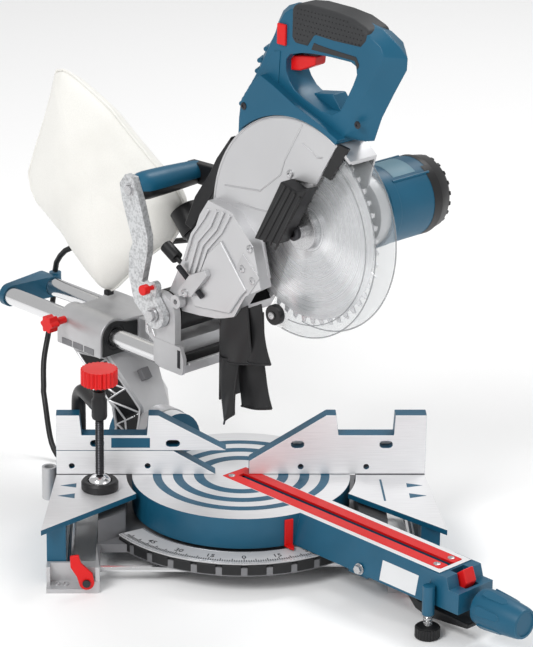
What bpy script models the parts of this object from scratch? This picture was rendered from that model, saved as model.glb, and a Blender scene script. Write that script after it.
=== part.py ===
"""A sliding compound miter saw with its arm turned to 42 degrees and its head up.

Two frames are used. The base frame is the world: X to the right, Y to the back, Z up,
with the origin on the bench under the turntable's pivot and the fence face at Y = 0.
The table frame is turned with the arm: x runs forward along the arm, y to its right
and z up. In the table frame the blade's plane is y = 0. All sizes are in metres.
"""

import math

import bmesh
import bpy
from mathutils import Matrix, Vector

# Driving dimensions.
MITER = math.radians(42)
TABLE_TOP = 0.0745
TABLE_R = 0.1245
GAP = 0.0003
ARM_END = 0.326
ARM_HALF = 0.025
KERF_HALF = 0.006
INSERT_HALF = 0.0168
INSERT_DEPTH = 0.0027

BASE_TOP = 0.032
SCALE_R = (0.127, 0.162)
WING_FRONT = (0.222, -0.155)
WING_REAR_X = 0.2105
WING_BOTTOM = 0.0683
WING_INNER_R = 0.131
FENCE_BACK = 0.018
FENCE_SPLIT_Z = 0.1042

BLADE_R = 0.108
BLADE_TEETH = 48
ARBOR = (0.0987, 0.3947)
MOTOR_AXIS = (0.1485, 0.4220)
PIVOT = (-0.088, 0.258)
LOCK_PIN = (-0.0905, 0.2900)
LOCK_PIN_R = 0.0026
CHOP_DOWN = 56.3
GEAR_R = 0.0475
MOTOR_R = 0.0440
PINION_R = 0.0090

RAIL_R = 0.0110
RAIL_Y = 0.030
RAIL_Z = 0.1985
RAIL_REARS = (-0.3785, -0.3860)
RAIL_FRONT = -0.0660
BORE_R = RAIL_R + GAP
HOUSING_Y = 0.052
BEVEL_R = 0.0415

GUARD_R = 0.1275
GUARD_HALF = 0.0200
LOWER_GUARD_R = 0.1190
LOWER_GUARD_HALF = 0.0165
PIN_R = 0.006

ROD_R = 0.004
ROD_Z = 0.016
ROD_REACH = 0.030
ROD_BEND_X = 0.1915
LEFT_ROD_ROWS = (-0.1275, 0.034)
RIGHT_ROD_ROWS = (-0.1145, 0.047)
CAM_HUB = (0.1725, 0.0145)
SOCKET = (0.2195, 0.020)
CORD_R = 0.0035
CLIP = (-0.388, 0.0505)
COIL_CENTRE = (-0.150, 0.176)
COIL_R = 0.042
COIL_HALF_WIDTH = 0.0105
COIL_HEIGHT = 0.0175

COLOURS = {
    "blue_paint": ((0.03, 0.17, 0.26), 0.45, 0.1),
    "machined_aluminium": ((0.72, 0.73, 0.74), 0.35, 0.9),
    "cast_aluminium": ((0.50, 0.50, 0.51), 0.5, 0.7),
    "steel": ((0.62, 0.62, 0.63), 0.25, 1.0),
    "black_plastic": ((0.03, 0.03, 0.032), 0.5, 0.0),
    "red_plastic": ((0.75, 0.02, 0.02), 0.4, 0.0),
    "rubber": ((0.02, 0.02, 0.021), 0.8, 0.0),
    "clear_plastic": ((0.85, 0.88, 0.90), 0.15, 0.0),
    "bag_cloth": ((0.83, 0.81, 0.76), 0.9, 0.0),
}


# ---------------------------------------------------------------- tools


def clear_scene():
    for obj in list(bpy.data.objects):
        bpy.data.objects.remove(obj, do_unlink=True)


def material(name):
    found = bpy.data.materials.get(name)
    if found:
        return found
    colour, roughness, metallic = COLOURS[name]
    made = bpy.data.materials.new(name)
    made.use_nodes = True
    shader = made.node_tree.nodes["Principled BSDF"]
    shader.inputs["Base Color"].default_value = (*colour, 1.0)
    shader.inputs["Roughness"].default_value = roughness
    shader.inputs["Metallic"].default_value = metallic
    return made


def object_of(name, shape, look, parent=None):
    """Makes one object from a bmesh, its normals facing out."""
    bmesh.ops.recalc_face_normals(shape, faces=shape.faces)
    mesh = bpy.data.meshes.new(name)
    shape.to_mesh(mesh)
    shape.free()
    mesh.materials.append(material(look))
    obj = bpy.data.objects.new(name, mesh)
    bpy.context.scene.collection.objects.link(obj)
    obj.parent = parent
    return obj


def boolean(obj, shapes, operation):
    """Adds or cuts each shape, kept as a hidden helper object."""
    for shape in shapes:
        label = f"{obj.name}_{operation.lower()}_{len(obj.modifiers)}"
        helper = object_of(label, shape, "steel", obj.parent)
        helper.hide_render = True
        helper.display_type = "WIRE"
        modifier = obj.modifiers.new(label, "BOOLEAN")
        modifier.operation = operation
        modifier.object = helper
        modifier.solver = "EXACT"


def union(obj, *shapes):
    boolean(obj, shapes, "UNION")


def cut(obj, *shapes):
    boolean(obj, shapes, "DIFFERENCE")


def along(axis, point, depth):
    """A drawing's point placed at a depth along x, y or z."""
    a, b = point
    return {"x": (depth, a, b), "y": (a, depth, b), "z": (a, b, depth)}[axis]


def prism(axis, low, high, *loops):
    """A drawing extruded along an axis. The first loop is the outline and the rest are holes."""
    shape = bmesh.new()
    edges = []
    for loop in loops:
        verts = [shape.verts.new(along(axis, p, low)) for p in loop]
        edges += [shape.edges.new((verts[i - 1], verts[i])) for i in range(len(verts))]
    bmesh.ops.triangle_fill(shape, use_beauty=True, edges=edges)
    made = bmesh.ops.extrude_face_region(shape, geom=list(shape.faces))
    tops = [g for g in made["geom"] if isinstance(g, bmesh.types.BMVert)]
    bmesh.ops.translate(shape, verts=tops, vec=along(axis, (0, 0), high - low))
    return shape


def box(low, high):
    outline = [(low[0], low[1]), (high[0], low[1]), (high[0], high[1]), (low[0], high[1])]
    return prism("z", low[2], high[2], outline)


def arc(centre, radius, start, end, steps):
    """Points on an arc between two angles in degrees."""
    angles = [math.radians(start + (end - start) * i / steps) for i in range(steps + 1)]
    return [(centre[0] + radius * math.cos(a), centre[1] + radius * math.sin(a)) for a in angles]


def circle(centre, radius, steps=24):
    return arc(centre, radius, 0, 360, steps)[:-1]


def turned(profile, steps=32, sweep=360):
    """A profile of (radius, height) points turned about z. Points on the axis close it."""
    shape = bmesh.new()
    verts = [shape.verts.new((r, 0, z)) for r, z in profile]
    edges = [shape.edges.new((verts[i], verts[i + 1])) for i in range(len(verts) - 1)]
    if profile[0][0] > 0:
        edges.append(shape.edges.new((verts[-1], verts[0])))
    bmesh.ops.spin(
        shape,
        geom=verts + edges,
        cent=(0, 0, 0),
        axis=(0, 0, 1),
        angle=math.radians(sweep),
        steps=steps,
        use_merge=sweep == 360,
    )
    bmesh.ops.remove_doubles(shape, verts=shape.verts, dist=1e-6)
    bmesh.ops.holes_fill(shape, edges=shape.edges, sides=0)
    return shape


def rod_profile(*steps):
    """The turned profile of a stepped rod from (radius, low, high) steps in rising order."""
    points = [(0, steps[0][1])]
    for radius, low, high in steps:
        points += [(radius, low), (radius, high)]
    points.append((0, steps[-1][2]))
    return points


def aimed(shape, origin, direction):
    """Turns a shape made about z to point along a direction, and moves it to an origin."""
    turn = Vector((0, 0, 1)).rotation_difference(Vector(direction)).to_matrix().to_4x4()
    bmesh.ops.transform(shape, matrix=Matrix.Translation(origin) @ turn, verts=shape.verts)
    return shape


def rod(start, end, radius, steps=16):
    length = (Vector(end) - Vector(start)).length
    return aimed(turned(rod_profile((radius, 0, length)), steps), start, Vector(end) - Vector(start))


def tube(name, points, radius, look, parent=None):
    """A round bar or cord through the points, with flat ends."""
    curve = bpy.data.curves.new(name, "CURVE")
    curve.dimensions = "3D"
    curve.bevel_depth = radius
    curve.bevel_resolution = 2
    curve.use_fill_caps = True
    curve.materials.append(material(look))
    spline = curve.splines.new("POLY")
    spline.points.add(len(points) - 1)
    for point, place in zip(spline.points, points):
        point.co = (*place, 1)
    obj = bpy.data.objects.new(name, curve)
    bpy.context.scene.collection.objects.link(obj)
    obj.parent = parent
    return obj


def loft(sections):
    """A closed solid through loops of equal length."""
    shape = bmesh.new()
    loops = [[shape.verts.new(p) for p in section] for section in sections]
    for below, above in zip(loops, loops[1:]):
        for i in range(len(below)):
            shape.faces.new((below[i - 1], below[i], above[i], above[i - 1]))
    shape.faces.new(loops[0])
    shape.faces.new(loops[-1])
    return shape


def mirrored(points, side):
    """An outline drawn for the right, moved to the side asked for."""
    return [(x * side, y) for x, y in points]


def rotated(points, centre, degrees):
    cos, sin = math.cos(math.radians(degrees)), math.sin(math.radians(degrees))
    moved = [(x - centre[0], z - centre[1]) for x, z in points]
    return [(centre[0] + x * cos - z * sin, centre[1] + x * sin + z * cos) for x, z in moved]


# ---------------------------------------------------------------- base


def base_casting():
    """The pivot plate with its centre boss, side pods that carry the fences, and four feet."""
    outline = [(-0.163, -0.098), (-0.128, -0.098)]
    outline += arc((0, 0), 0.1615, -142, -38, 24)
    outline += [(0.128, -0.098), (0.163, -0.098), (0.163, 0.098), (-0.163, 0.098)]
    obj = object_of("base_casting", prism("z", 0.0222, BASE_TOP, outline), "cast_aluminium")
    union(obj, aimed(turned(rod_profile((0.0200, 0.0, 0.0300))), (0, 0, 0), (0, 0, 1)))
    for side in (-1, 1):
        pod = mirrored([(0.131, -0.071), (0.1615, -0.096), (0.1615, 0.022), (0.131, 0.022)], side)
        beam = mirrored([(0.132, 0.001), (WING_REAR_X, 0.001), (WING_REAR_X, 0.021), (0.132, 0.021)], side)
        wall = [(-0.1565, 0), (-0.131, 0), (-0.131, 0.012)]
        wall += [(-0.097, 0.023), (-0.097, 0.031), (-0.1565, 0.031)]
        rear = mirrored([(0.120, 0.060), (0.163, 0.060), (0.163, 0.098), (0.120, 0.098)], side)
        wall_x = sorted((0.1585 * side, 0.1630 * side))
        union(obj, prism("z", 0.030, 0.0600, pod))
        union(obj, prism("z", 0.0590, TABLE_TOP - GAP, beam))
        union(obj, prism("x", *wall_x, wall))
        union(obj, foot_box(side))
        union(obj, prism("z", 0.0, 0.030, rear))
    return obj


def foot_box(side):
    """An open-topped front foot with a block at its inner end for the cam lever."""
    floor, rim = 0.005, 0.027
    x_out, x_in = 0.217, 0.160
    front, back = -0.1570, -0.1315
    outline = [(x_out, 0), (x_in, 0), (x_in, rim), (0.180, rim)]
    outline += [(0.180, floor), (0.213, floor), (0.213, rim), (x_out, rim)]
    inner = prism("y", front + 0.010, back - 0.003, mirrored(outline, side))
    plate = mirrored([(x_out, 0), (x_in, 0), (x_in, rim), (x_out, rim)], side)
    lip = [(x_out, 0), (x_in, 0), (x_in, 0.014), (0.180, 0.014), (0.176, floor), (x_out, floor)]
    shape = solid_union(
        inner,
        prism("y", back - 0.0035, back, plate),
        prism("y", front, front + 0.0105, mirrored(lip, side)),
    )
    return shape


def solid_union(*shapes):
    """Overlapping shapes merged into one closed mesh, read back from a temporary object."""
    first, *others = shapes
    obj = object_of("merging", first, "steel")
    union(obj, *others)
    bpy.context.view_layer.update()
    graph = bpy.context.evaluated_depsgraph_get()
    merged = bmesh.new()
    merged.from_object(obj, graph)
    for modifier in obj.modifiers:
        bpy.data.objects.remove(modifier.object, do_unlink=True)
    bpy.data.objects.remove(obj, do_unlink=True)
    return merged


def miter_scale():
    """The notched detent plate that carries the angle scale."""
    inner, outer = SCALE_R
    outline = []
    notches = list(range(-150, -29, 15))
    for start, end in zip(notches, notches[1:]):
        outline += arc((0, 0), outer, start + 1.5, end - 1.5, 5)
        outline += arc((0, 0), outer - 0.004, end - 1.0, end + 1.0, 1) if end < notches[-1] else []
    outline += arc((0, 0), inner, -31.5, -148.5, 28)
    object_of("miter_scale", prism("z", BASE_TOP + GAP, 0.0370, outline), "machined_aluminium")


def fences():
    """The low fixed left fence, the sliding upper left fence and the tall one-piece right fence."""
    bottom = TABLE_TOP + 0.0005
    low_left = [(-0.2105, bottom), (-0.029, bottom)]
    low_left += [(-0.0774, FENCE_SPLIT_Z - 0.0004), (-0.2105, FENCE_SPLIT_Z - 0.0004)]
    low_holes = [circle((x, 0.085), 0.0032, 10) for x in (-0.193, -0.1067)]
    object_of("fence_lower_left", prism("y", 0, FENCE_BACK, low_left, *low_holes), "machined_aluminium")

    upper = [(-0.2105, FENCE_SPLIT_Z), (-0.017, FENCE_SPLIT_Z), (-0.0945, 0.147)]
    upper += [(-0.1057, 0.147), (-0.1075, 0.1228)]
    upper += [(-0.1815, 0.1228), (-0.184, 0.147), (-0.2105, 0.147)]
    slots = [slot_outline((x, 0.1127), 0.0080, 0.0040) for x in (-0.164, -0.078)]
    object_of("fence_upper_left", prism("y", 0, FENCE_BACK, upper, *slots), "machined_aluminium")

    right = [(0.009, bottom), (0.2105, bottom), (0.2105, 0.1475)]
    right += [(0.1748, 0.1475), (0.1735, 0.123), (0.1105, 0.123)]
    right += [(0.1075, 0.1475), (0.0966, 0.1475), (0.009, 0.091)]
    slots = [slot_outline((x, 0.1114), 0.0075, 0.0042) for x in (0.064, 0.165)]
    holes = [circle((x, 0.084), 0.0032, 10) for x in (0.068, 0.143)]
    object_of("fence_right", prism("y", 0, FENCE_BACK, right, *slots, *holes), "machined_aluminium")


def slot_outline(centre, half_length, radius):
    x, z = centre
    run = half_length - radius
    return arc((x + run, z), radius, -90, 90, 5) + arc((x - run, z), radius, 90, 270, 5)


def cam_bolt(side, name):
    """The shouldered bolt that a cam lever turns on."""
    bolt = turned(rod_profile((0.0045, 0, 0.0025), (0.0025, 0.0025, 0.0130)), 12)
    object_of(name, aimed(bolt, (CAM_HUB[0] * side, -0.1643, CAM_HUB[1]), (0, 1, 0)), "black_plastic")


def cam_lever(side, name, turn):
    """The red lever on the front foot that grips the extension rods, turned outward by some degrees."""
    outline = arc(CAM_HUB, 0.0085, 180, 330, 8) + [(0.1830, 0.0215), (0.1900, 0.0330), (0.1905, 0.0460)]
    outline += [(0.1810, 0.0475), (0.1785, 0.0380), (0.1660, 0.0255)]
    outline = rotated(outline, CAM_HUB, -turn)
    hole = circle(CAM_HUB, 0.0025 + GAP, 12)
    plate = prism("y", -0.1615, -0.1575, mirrored(outline, side), mirrored(hole, side))
    object_of(name, plate, "red_plastic")


def wing(side, name):
    """A sliding side table: its top plate, its leg and its rod wall, and on the left one a socket."""
    edge = arc((0, 0), WING_INNER_R, -24.5, 0, 6)
    plate = [(WING_REAR_X, -0.001), WING_FRONT] + edge[:-1] + [(WING_INNER_R, -0.001)]
    side_wall = [(-0.1300, 0.006), (0.055, 0.006), (0.055, 0.058)]
    side_wall += [(-0.004, 0.058), (-0.004, 0.0688), (-0.1300, 0.0688)]
    wall_x = sorted((0.1995 * side, 0.2085 * side))
    leg_x = sorted((0.1960 * side, 0.2170 * side))
    obj = object_of(name, prism("z", WING_BOTTOM, TABLE_TOP, mirrored(plate, side)), "blue_paint")
    union(obj, prism("x", *wall_x, side_wall))
    union(obj, box((leg_x[0], -0.1305, 0.006), (leg_x[1], -0.112, 0.0688)))
    if side < 0:
        union(obj, *socket(side))


def socket(side):
    """The open tube on the wing's end that takes a clamp or a work stop."""
    tube = turned([(0.0055, 0), (0.0085, 0), (0.0085, 0.039), (0.0055, 0.039)], 20)
    x, y = SOCKET[0] * side, SOCKET[1]
    lug_x = sorted((0.2065 * side, 0.2130 * side))
    lug = box((lug_x[0], y - 0.0065, 0.040), (lug_x[1], y + 0.0065, 0.056))
    return aimed(tube, (x, y, 0.037), (0, 0, 1)), lug


def extension_rods(side, name, rows):
    """One bar bent to a U, its bend inside the wing's end wall and its two legs in the base."""
    front, rear = rows
    bend = 0.010
    corner = ROD_BEND_X - bend
    outline = [(ROD_REACH, front)] + arc((corner, front + bend), bend, -90, 0, 5)
    outline += arc((corner, rear - bend), bend, 0, 90, 5) + [(ROD_REACH, rear)]
    tube(name, [(x, y, ROD_Z) for x, y in mirrored(outline, side)], ROD_R, "steel")


def cut_base_bores(base):
    """The ways through the side walls for the front rods, and the cam bolts' bores."""
    for y in (LEFT_ROD_ROWS[0], RIGHT_ROD_ROWS[0]):
        cut(base, rod((-0.175, y, ROD_Z), (0.175, y, ROD_Z), ROD_R + 2 * GAP, 12))
    for side in (-1, 1):
        x, z = CAM_HUB[0] * side, CAM_HUB[1]
        cut(base, rod((x, -0.160, z), (x, -0.150, z), 0.0025 + GAP, 12))


# ---------------------------------------------------------------- work clamp

CLAMP_POST = (-0.1855, 0.030)
CLAMP_SCREW = (-0.1602, -0.040)
CLAMP_ARM_Z = (0.163, 0.181)


def clamp():
    """A post behind the fence, an arm over it, and a screw with a swivelling pad."""
    post = turned(rod_profile((0.0085, 0.0747, CLAMP_ARM_Z[1])), 20)
    obj = object_of("clamp_arm", aimed(post, (*CLAMP_POST, 0), (0, 0, 1)), "black_plastic")
    post_foot, screw_foot = Vector(CLAMP_POST), Vector(CLAMP_SCREW)
    across = (screw_foot - post_foot).orthogonal().normalized() * 0.0075
    corners = [post_foot - across, screw_foot - across, screw_foot + across, post_foot + across]
    union(obj, prism("z", *CLAMP_ARM_Z, corners))
    collar = turned(rod_profile((0.0095, 0.160, 0.184), (0.0072, 0.184, 0.1925)), 20)
    union(obj, aimed(collar, (*CLAMP_SCREW, 0), (0, 0, 1)))
    cut(obj, aimed(turned(rod_profile((0.0053, 0.150, 0.205)), 16), (*CLAMP_SCREW, 0), (0, 0, 1)))

    pad = [(0, 0.0748), (0.0210, 0.0748), (0.0210, 0.0850), (0.0120, 0.0860), (0.0080, 0.0905), (0, 0.0920)]
    object_of("clamp_pad", aimed(turned(pad, 28), (*CLAMP_SCREW, 0), (0, 0, 1)), "rubber")

    screw = rod_profile((0.0050, 0.0930, 0.1960), (0.0085, 0.1960, 0.2015), (0.0205, 0.2015, 0.2200))
    object_of("clamp_screw", aimed(turned(screw, 28), (*CLAMP_SCREW, 0), (0, 0, 1)), "red_plastic")


# ---------------------------------------------------------------- turntable


def turntable(frame):
    """The round table, its arm with the end block, and the rear lug of the bevel joint, in one casting."""
    skirt, top = 0.006, 0.008
    low = TABLE_TOP - top
    profile = [(0, TABLE_TOP), (TABLE_R, TABLE_TOP), (TABLE_R, 0.0385), (TABLE_R - skirt, 0.0385)]
    profile += [(TABLE_R - skirt, low), (0.020, low), (0.020, BASE_TOP + GAP), (0, BASE_TOP + GAP)]
    obj = object_of("turntable", turned(profile, 72), "blue_paint", frame)
    section = [(-0.033, 0.038), (-ARM_HALF, TABLE_TOP), (ARM_HALF, TABLE_TOP), (0.033, 0.038)]
    section += [(0.028, 0.038), (0.021, 0.0665), (-0.021, 0.0665), (-0.028, 0.038)]
    union(obj, prism("x", 0.105, ARM_END - 0.004, section))
    side = [(0.306, 0.036), (0.362, 0.036), (0.362, 0.0600)]
    side += [(0.348, 0.0600), (0.344, 0.0735), (0.306, 0.0735)]
    union(obj, prism("y", -0.027, 0.027, side))
    union(obj, box((0.306, -ARM_HALF, 0.070), (ARM_END + 0.006, ARM_HALF, TABLE_TOP)))
    boss = rod((ARM_END, -0.034, 0.027), (ARM_END, -0.034, 0.0600), 0.0068, 16)
    union(obj, boss)
    lug = prism("x", -0.1277, -0.112, circle((0, TABLE_TOP), 0.040, 32))
    union(obj, lug)
    half, seat = INSERT_HALF + GAP, TABLE_TOP - INSERT_DEPTH - GAP
    cut(obj, box((-0.012, -half, seat), (ARM_END, half, 0.080)))
    cut(obj, box((-0.012, -KERF_HALF, 0.056), (ARM_END, KERF_HALF, 0.080)))
    cut(obj, box((0.334, -0.0105, 0.046), (0.3575, 0.0105, 0.080)))
    cut(obj, rod((ARM_END, -0.034, 0.020), (ARM_END, -0.034, 0.055), 0.0036, 12))
    cut(obj, rod((0.300, 0, 0.042), (0.370, 0, 0.042), 0.0053, 16))
    return obj


def kerf_insert(frame):
    """The insert round the blade's slot, closed behind the slot and open at the arm's end."""
    rear, front, slot = -0.0117, ARM_END - GAP, 0.0045
    outline = [(rear, -INSERT_HALF), (front, -INSERT_HALF), (front, -slot)]
    outline += [(0, -slot), (0, slot), (front, slot)]
    outline += [(front, INSERT_HALF), (rear, INSERT_HALF)]
    object_of("kerf_insert", prism("z", TABLE_TOP - INSERT_DEPTH, TABLE_TOP, outline), "red_plastic", frame)


def arm_controls(frame):
    """The miter lock knob, the detent lever with its red release, and the levelling foot."""
    knob = rod_profile((0.0050, 0.300, 0.370), (0.0215, 0.370, 0.3705), (0.0215, 0.3705, 0.382))
    knob[-1:] = [(0.0180, 0.4280), (0.0140, 0.4325), (0, 0.4325)]
    object_of("miter_lock_knob", aimed(turned(knob, 32), (0, 0, 0.042), (1, 0, 0)), "blue_paint", frame)

    bar = [(0.2000, 0.0440), (0.2620, 0.0440), (0.2950, 0.0260), (0.3665, 0.0230), (0.3665, 0.0170)]
    bar += [(0.3400, 0.0140), (0.3060, 0.0110), (0.2900, 0.0150), (0.2700, 0.0340), (0.2000, 0.0360)]
    object_of("detent_lever", prism("y", -0.016, 0.016, bar), "black_plastic", frame)

    release = [(0.3380, 0.0480), (0.3470, 0.0480), (0.3560, 0.0640), (0.3500, 0.0790), (0.3400, 0.0710)]
    object_of("detent_release", prism("y", -0.0080, 0.0080, release), "red_plastic", frame)

    foot = rod_profile(
        (0.0130, 0.0, 0.0020),
        (0.0140, 0.0020, 0.0125),
        (0.0125, 0.0125, 0.0140),
        (0.0032, 0.0140, 0.0430),
    )
    foot = aimed(turned(foot, 24), (ARM_END, -0.034, 0), (0, 0, 1))
    object_of("levelling_foot", foot, "black_plastic", frame)


def bevel_joint(frame):
    """The clamp plate behind the tilt arm, on the bolt it turns about, and its lock lever."""
    plate = rod_profile(
        (0.0080, 0.1279, 0.1756),
        (0.0400, 0.1756, 0.1860),
        (0.0340, 0.1860, 0.1895),
        (0.0060, 0.1895, 0.2090),
    )
    plate = aimed(turned(plate, 32), (0, 0, TABLE_TOP), (-1, 0, 0))
    object_of("bevel_clamp_plate", plate, "blue_paint", frame)
    hub = turned([(0.0063, 0.1898), (0.0130, 0.1898), (0.0130, 0.2040), (0.0063, 0.2040)], 20)
    obj = object_of("bevel_lock_lever", aimed(hub, (0, 0, TABLE_TOP), (-1, 0, 0)), "black_plastic", frame)
    handle = [(0.0100, TABLE_TOP - 0.006), (0.0650, TABLE_TOP + 0.008)]
    handle += [(0.0650, TABLE_TOP + 0.018), (0.0090, TABLE_TOP + 0.006)]
    union(obj, prism("x", -0.2035, -0.1950, handle))


# ---------------------------------------------------------------- tilt arm and slide


def tilt_arm(frame):
    """The post that tilts about the table-height axis, widening upward to the slide housing."""
    flange = prism("x", -0.1750, -0.1282, circle((0, TABLE_TOP), BEVEL_R, 36))
    obj = object_of("tilt_arm", flange, "cast_aluminium", frame)
    stations = [
        (0.0600, -0.1290, 0.0170, -0.1745, 0.0340),
        (0.1180, -0.1465, 0.0190, -0.1745, 0.0440),
        (0.1755, -0.1900, 0.0340, -0.2400, 0.0480),
    ]
    sections = []
    for z, front, front_half, rear, rear_half in stations:
        corners = [(front, -front_half), (front, front_half), (rear, rear_half), (rear, -rear_half)]
        sections.append([(x, y, z) for x, y in corners])
    union(obj, loft(sections))
    cut(obj, rod((-0.180, 0, TABLE_TOP), (-0.120, 0, TABLE_TOP), 0.0085, 24))


def housing_outline(low, inner_edge=None):
    """The housing's end view: two arches over the rails with a saddle between."""
    r = 0.0225
    left = arc((-RAIL_Y, RAIL_Z), r, 180, 50, 9)
    right = arc((RAIL_Y, RAIL_Z), r, 130, 0, 9)
    if inner_edge is None:
        return [(-HOUSING_Y - 0.0005, low)] + left + right + [(HOUSING_Y + 0.0005, low)]
    return [(inner_edge, low), (inner_edge, 0.2130)] + right + [(HOUSING_Y + 0.0005, low)]


def slide_housing(frame):
    rails = [circle((y, RAIL_Z), BORE_R, 32) for y in (-RAIL_Y, RAIL_Y)]
    front = prism("x", -0.262, -0.184, housing_outline(0.1760), *rails)
    obj = object_of("slide_housing", front, "cast_aluminium", frame)
    union(obj, prism("x", -0.1845, -0.166, housing_outline(0.1800, 0.008), rails[1]))


def rail_lock_knob(frame):
    """A six-lobed star knob on a stem at the housing's left side."""
    centre = (-0.246, 0.209)
    lobes = []
    for i in range(36):
        angle = math.radians(i * 10)
        radius = 0.0092 + 0.0014 * math.cos(6 * angle)
        lobes.append((centre[0] + radius * math.cos(angle), centre[1] + radius * math.sin(angle)))
    obj = object_of("rail_lock_knob", prism("y", -0.0820, -0.0700, lobes), "red_plastic", frame)
    union(obj, rod((*centre[:1], -0.0705, centre[1]), (*centre[:1], -0.0540, centre[1]), 0.0045, 16))


def slide_rails(frame):
    for name, y, rear in (("left_rail", -RAIL_Y, RAIL_REARS[0]), ("right_rail", RAIL_Y, RAIL_REARS[1])):
        object_of(name, rod((rear, y, RAIL_Z), (RAIL_FRONT, y, RAIL_Z), RAIL_R, 32), "steel", frame)


def rail_end_cap(frame):
    """The skewed cap that ties the rails' rear ends, with the cord's clip on its right."""
    r = 0.0132
    outline = arc((-RAIL_Y, RAIL_Z), r, 90, 270, 10) + arc((RAIL_Y, RAIL_Z), r, -90, 90, 10)
    obj = object_of("rail_end_cap", prism("x", -0.4000, -0.3550, outline), "blue_paint", frame)
    behind = [(-0.3815, -0.0460), (-0.3950, 0.0460), (-0.4100, 0.0460), (-0.4100, -0.0460)]
    ahead = [(-0.3745, -0.0460), (-0.3500, -0.0460), (-0.3500, 0.0460), (-0.3640, 0.0460)]
    for wedge in (behind, ahead):
        cut(obj, prism("z", 0.1800, 0.2200, wedge))
    for y, rear in ((-RAIL_Y, RAIL_REARS[0]), (RAIL_Y, RAIL_REARS[1])):
        cut(obj, rod((rear - GAP, y, RAIL_Z), (-0.3400, y, RAIL_Z), BORE_R, 32))
    x, y = CLIP
    union(obj, rod((x, y, 0.1930), (x, y, 0.2070), 0.0075, 16))


def carriage(frame):
    """The block that clamps the rails' front ends, its two pivot ears and the left nose plate."""
    half, low, high = 0.0440, 0.1880, 0.2280
    outline = [(-half, low + 0.006), (-half + 0.006, low), (half - 0.006, low)]
    outline += [(half, low + 0.006), (half, high), (-half, high)]
    bores = [circle((y, RAIL_Z), BORE_R, 32) for y in (-RAIL_Y, RAIL_Y)]
    obj = object_of("carriage", prism("x", -0.0985, -0.0640, outline, *bores), "cast_aluminium", frame)
    ear = arc(PIVOT, 0.0250, 0, 180, 14)
    ear += [(-0.1130, 0.2287), (-0.0980, 0.2200), (-0.0645, 0.2200), (-0.0630, 0.2300)]
    locked = rotated([LOCK_PIN], PIVOT, -CHOP_DOWN)[0]
    nose = [(-0.0985, 0.1985), (-0.0880, 0.1925), (-0.0520, 0.1925), (-0.0485, 0.1970)]
    nose += [(-0.0485, 0.2120), (-0.0540, 0.2255), (-0.0985, 0.2262)]
    for y in ((-0.0455, -0.0365), (0.0365, 0.0455)):
        union(obj, prism("y", *y, ear))
    union(obj, rod((locked[0], -0.0455, locked[1]), (locked[0], -0.0368, locked[1]), 0.0080, 18))
    union(obj, prism("y", -0.0460, -0.0410, nose))
    union(obj, box((-0.0645, -0.0420, 0.1950), (-0.0490, 0.0380, 0.2040)))
    cut(obj, rod((PIVOT[0], -0.060, PIVOT[1]), (PIVOT[0], 0.060, PIVOT[1]), PIN_R + GAP, 16))
    cut(obj, rod((locked[0], -0.060, locked[1]), (locked[0], -0.030, locked[1]), LOCK_PIN_R + 2 * GAP, 12))


def head_lock_pin(frame):
    """The red-headed pin in the carry arm that holds the head down in the carriage's left ear."""
    pin = turned(rod_profile((LOCK_PIN_R, 0, 0.0165), (0.0060, 0.0165, 0.0250)), 20)
    pin = aimed(pin, (LOCK_PIN[0], -0.0461, LOCK_PIN[1]), (0, -1, 0))
    object_of("head_lock_pin", pin, "red_plastic", frame)


# ---------------------------------------------------------------- saw head


def arbor_arc(radius, start, end, steps):
    return arc(ARBOR, radius, start, end, steps)


def head_casting(frame):
    """The upper blade guard with the arm down to the pivot knuckle, cut away round the blade."""
    sector = arbor_arc(GUARD_R, 50, 192, 36) + [(-0.0200, 0.3600), (0.0500, 0.3300), (0.1400, 0.3500)]
    obj = object_of("head_casting", prism("y", -GUARD_HALF, GUARD_HALF, sector), "cast_aluminium", frame)
    arm = [(-0.0650, 0.2640), (-0.0350, 0.2665), (-0.0087, 0.2702)]
    arm += [(0.0050, 0.2740), (0.0210, 0.2800), (0.0390, 0.3090)]
    arm += [(0.0630, 0.3230), (0.0500, 0.3700), (0.0150, 0.4000), (-0.0220, 0.4050), (-0.0360, 0.3850)]
    arm += [(-0.0500, 0.3500), (-0.0700, 0.3140), (-0.0860, 0.2810)]
    union(obj, prism("y", -0.0340, 0.0220, arm))
    union(obj, rod((PIVOT[0], -0.0345, PIVOT[1]), (PIVOT[0], 0.0225, PIVOT[1]), 0.0250, 32))
    cut(obj, rod((PIVOT[0], -0.060, PIVOT[1]), (PIVOT[0], 0.060, PIVOT[1]), PIN_R + GAP, 16))
    cut(obj, rod((ARBOR[0], -0.0175, ARBOR[1]), (ARBOR[0], 0.0175, ARBOR[1]), GUARD_R - 0.0040, 56))
    window = [(0.0500, 0.3770), (0.0920, 0.4540), (0.1300, 0.4560)] + arbor_arc(GUARD_R - 0.0036, 61, 50, 3)
    window += [(0.2200, 0.4900), (0.2200, 0.2900), (0.0645, 0.2900), (0.0645, 0.3225)]
    cut(obj, prism("y", -0.0400, -0.0160, window))
    cut(obj, rod((ARBOR[0], 0.0100, ARBOR[1]), (ARBOR[0], 0.0300, ARBOR[1]), 0.0300, 28))


def pivot_pin(frame):
    pin = rod_profile((0.0085, 0, 0.0020), (PIN_R, 0.0020, 0.1050), (0.0085, 0.1050, 0.1070))
    object_of("pivot_pin", aimed(turned(pin, 20), (PIVOT[0], -0.0582, PIVOT[1]), (0, 1, 0)), "steel", frame)


def arbor_cover(frame):
    """The ribbed black plate at the left of the arbor."""
    outline = [(0.0540, 0.3800), (0.0940, 0.3825), (0.1100, 0.4100)]
    outline += [(0.1390, 0.4610), (0.1195, 0.4500), (0.0960, 0.4556)]
    object_of("arbor_cover", prism("y", -0.0400, -0.0203, outline), "black_plastic", frame)


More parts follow.
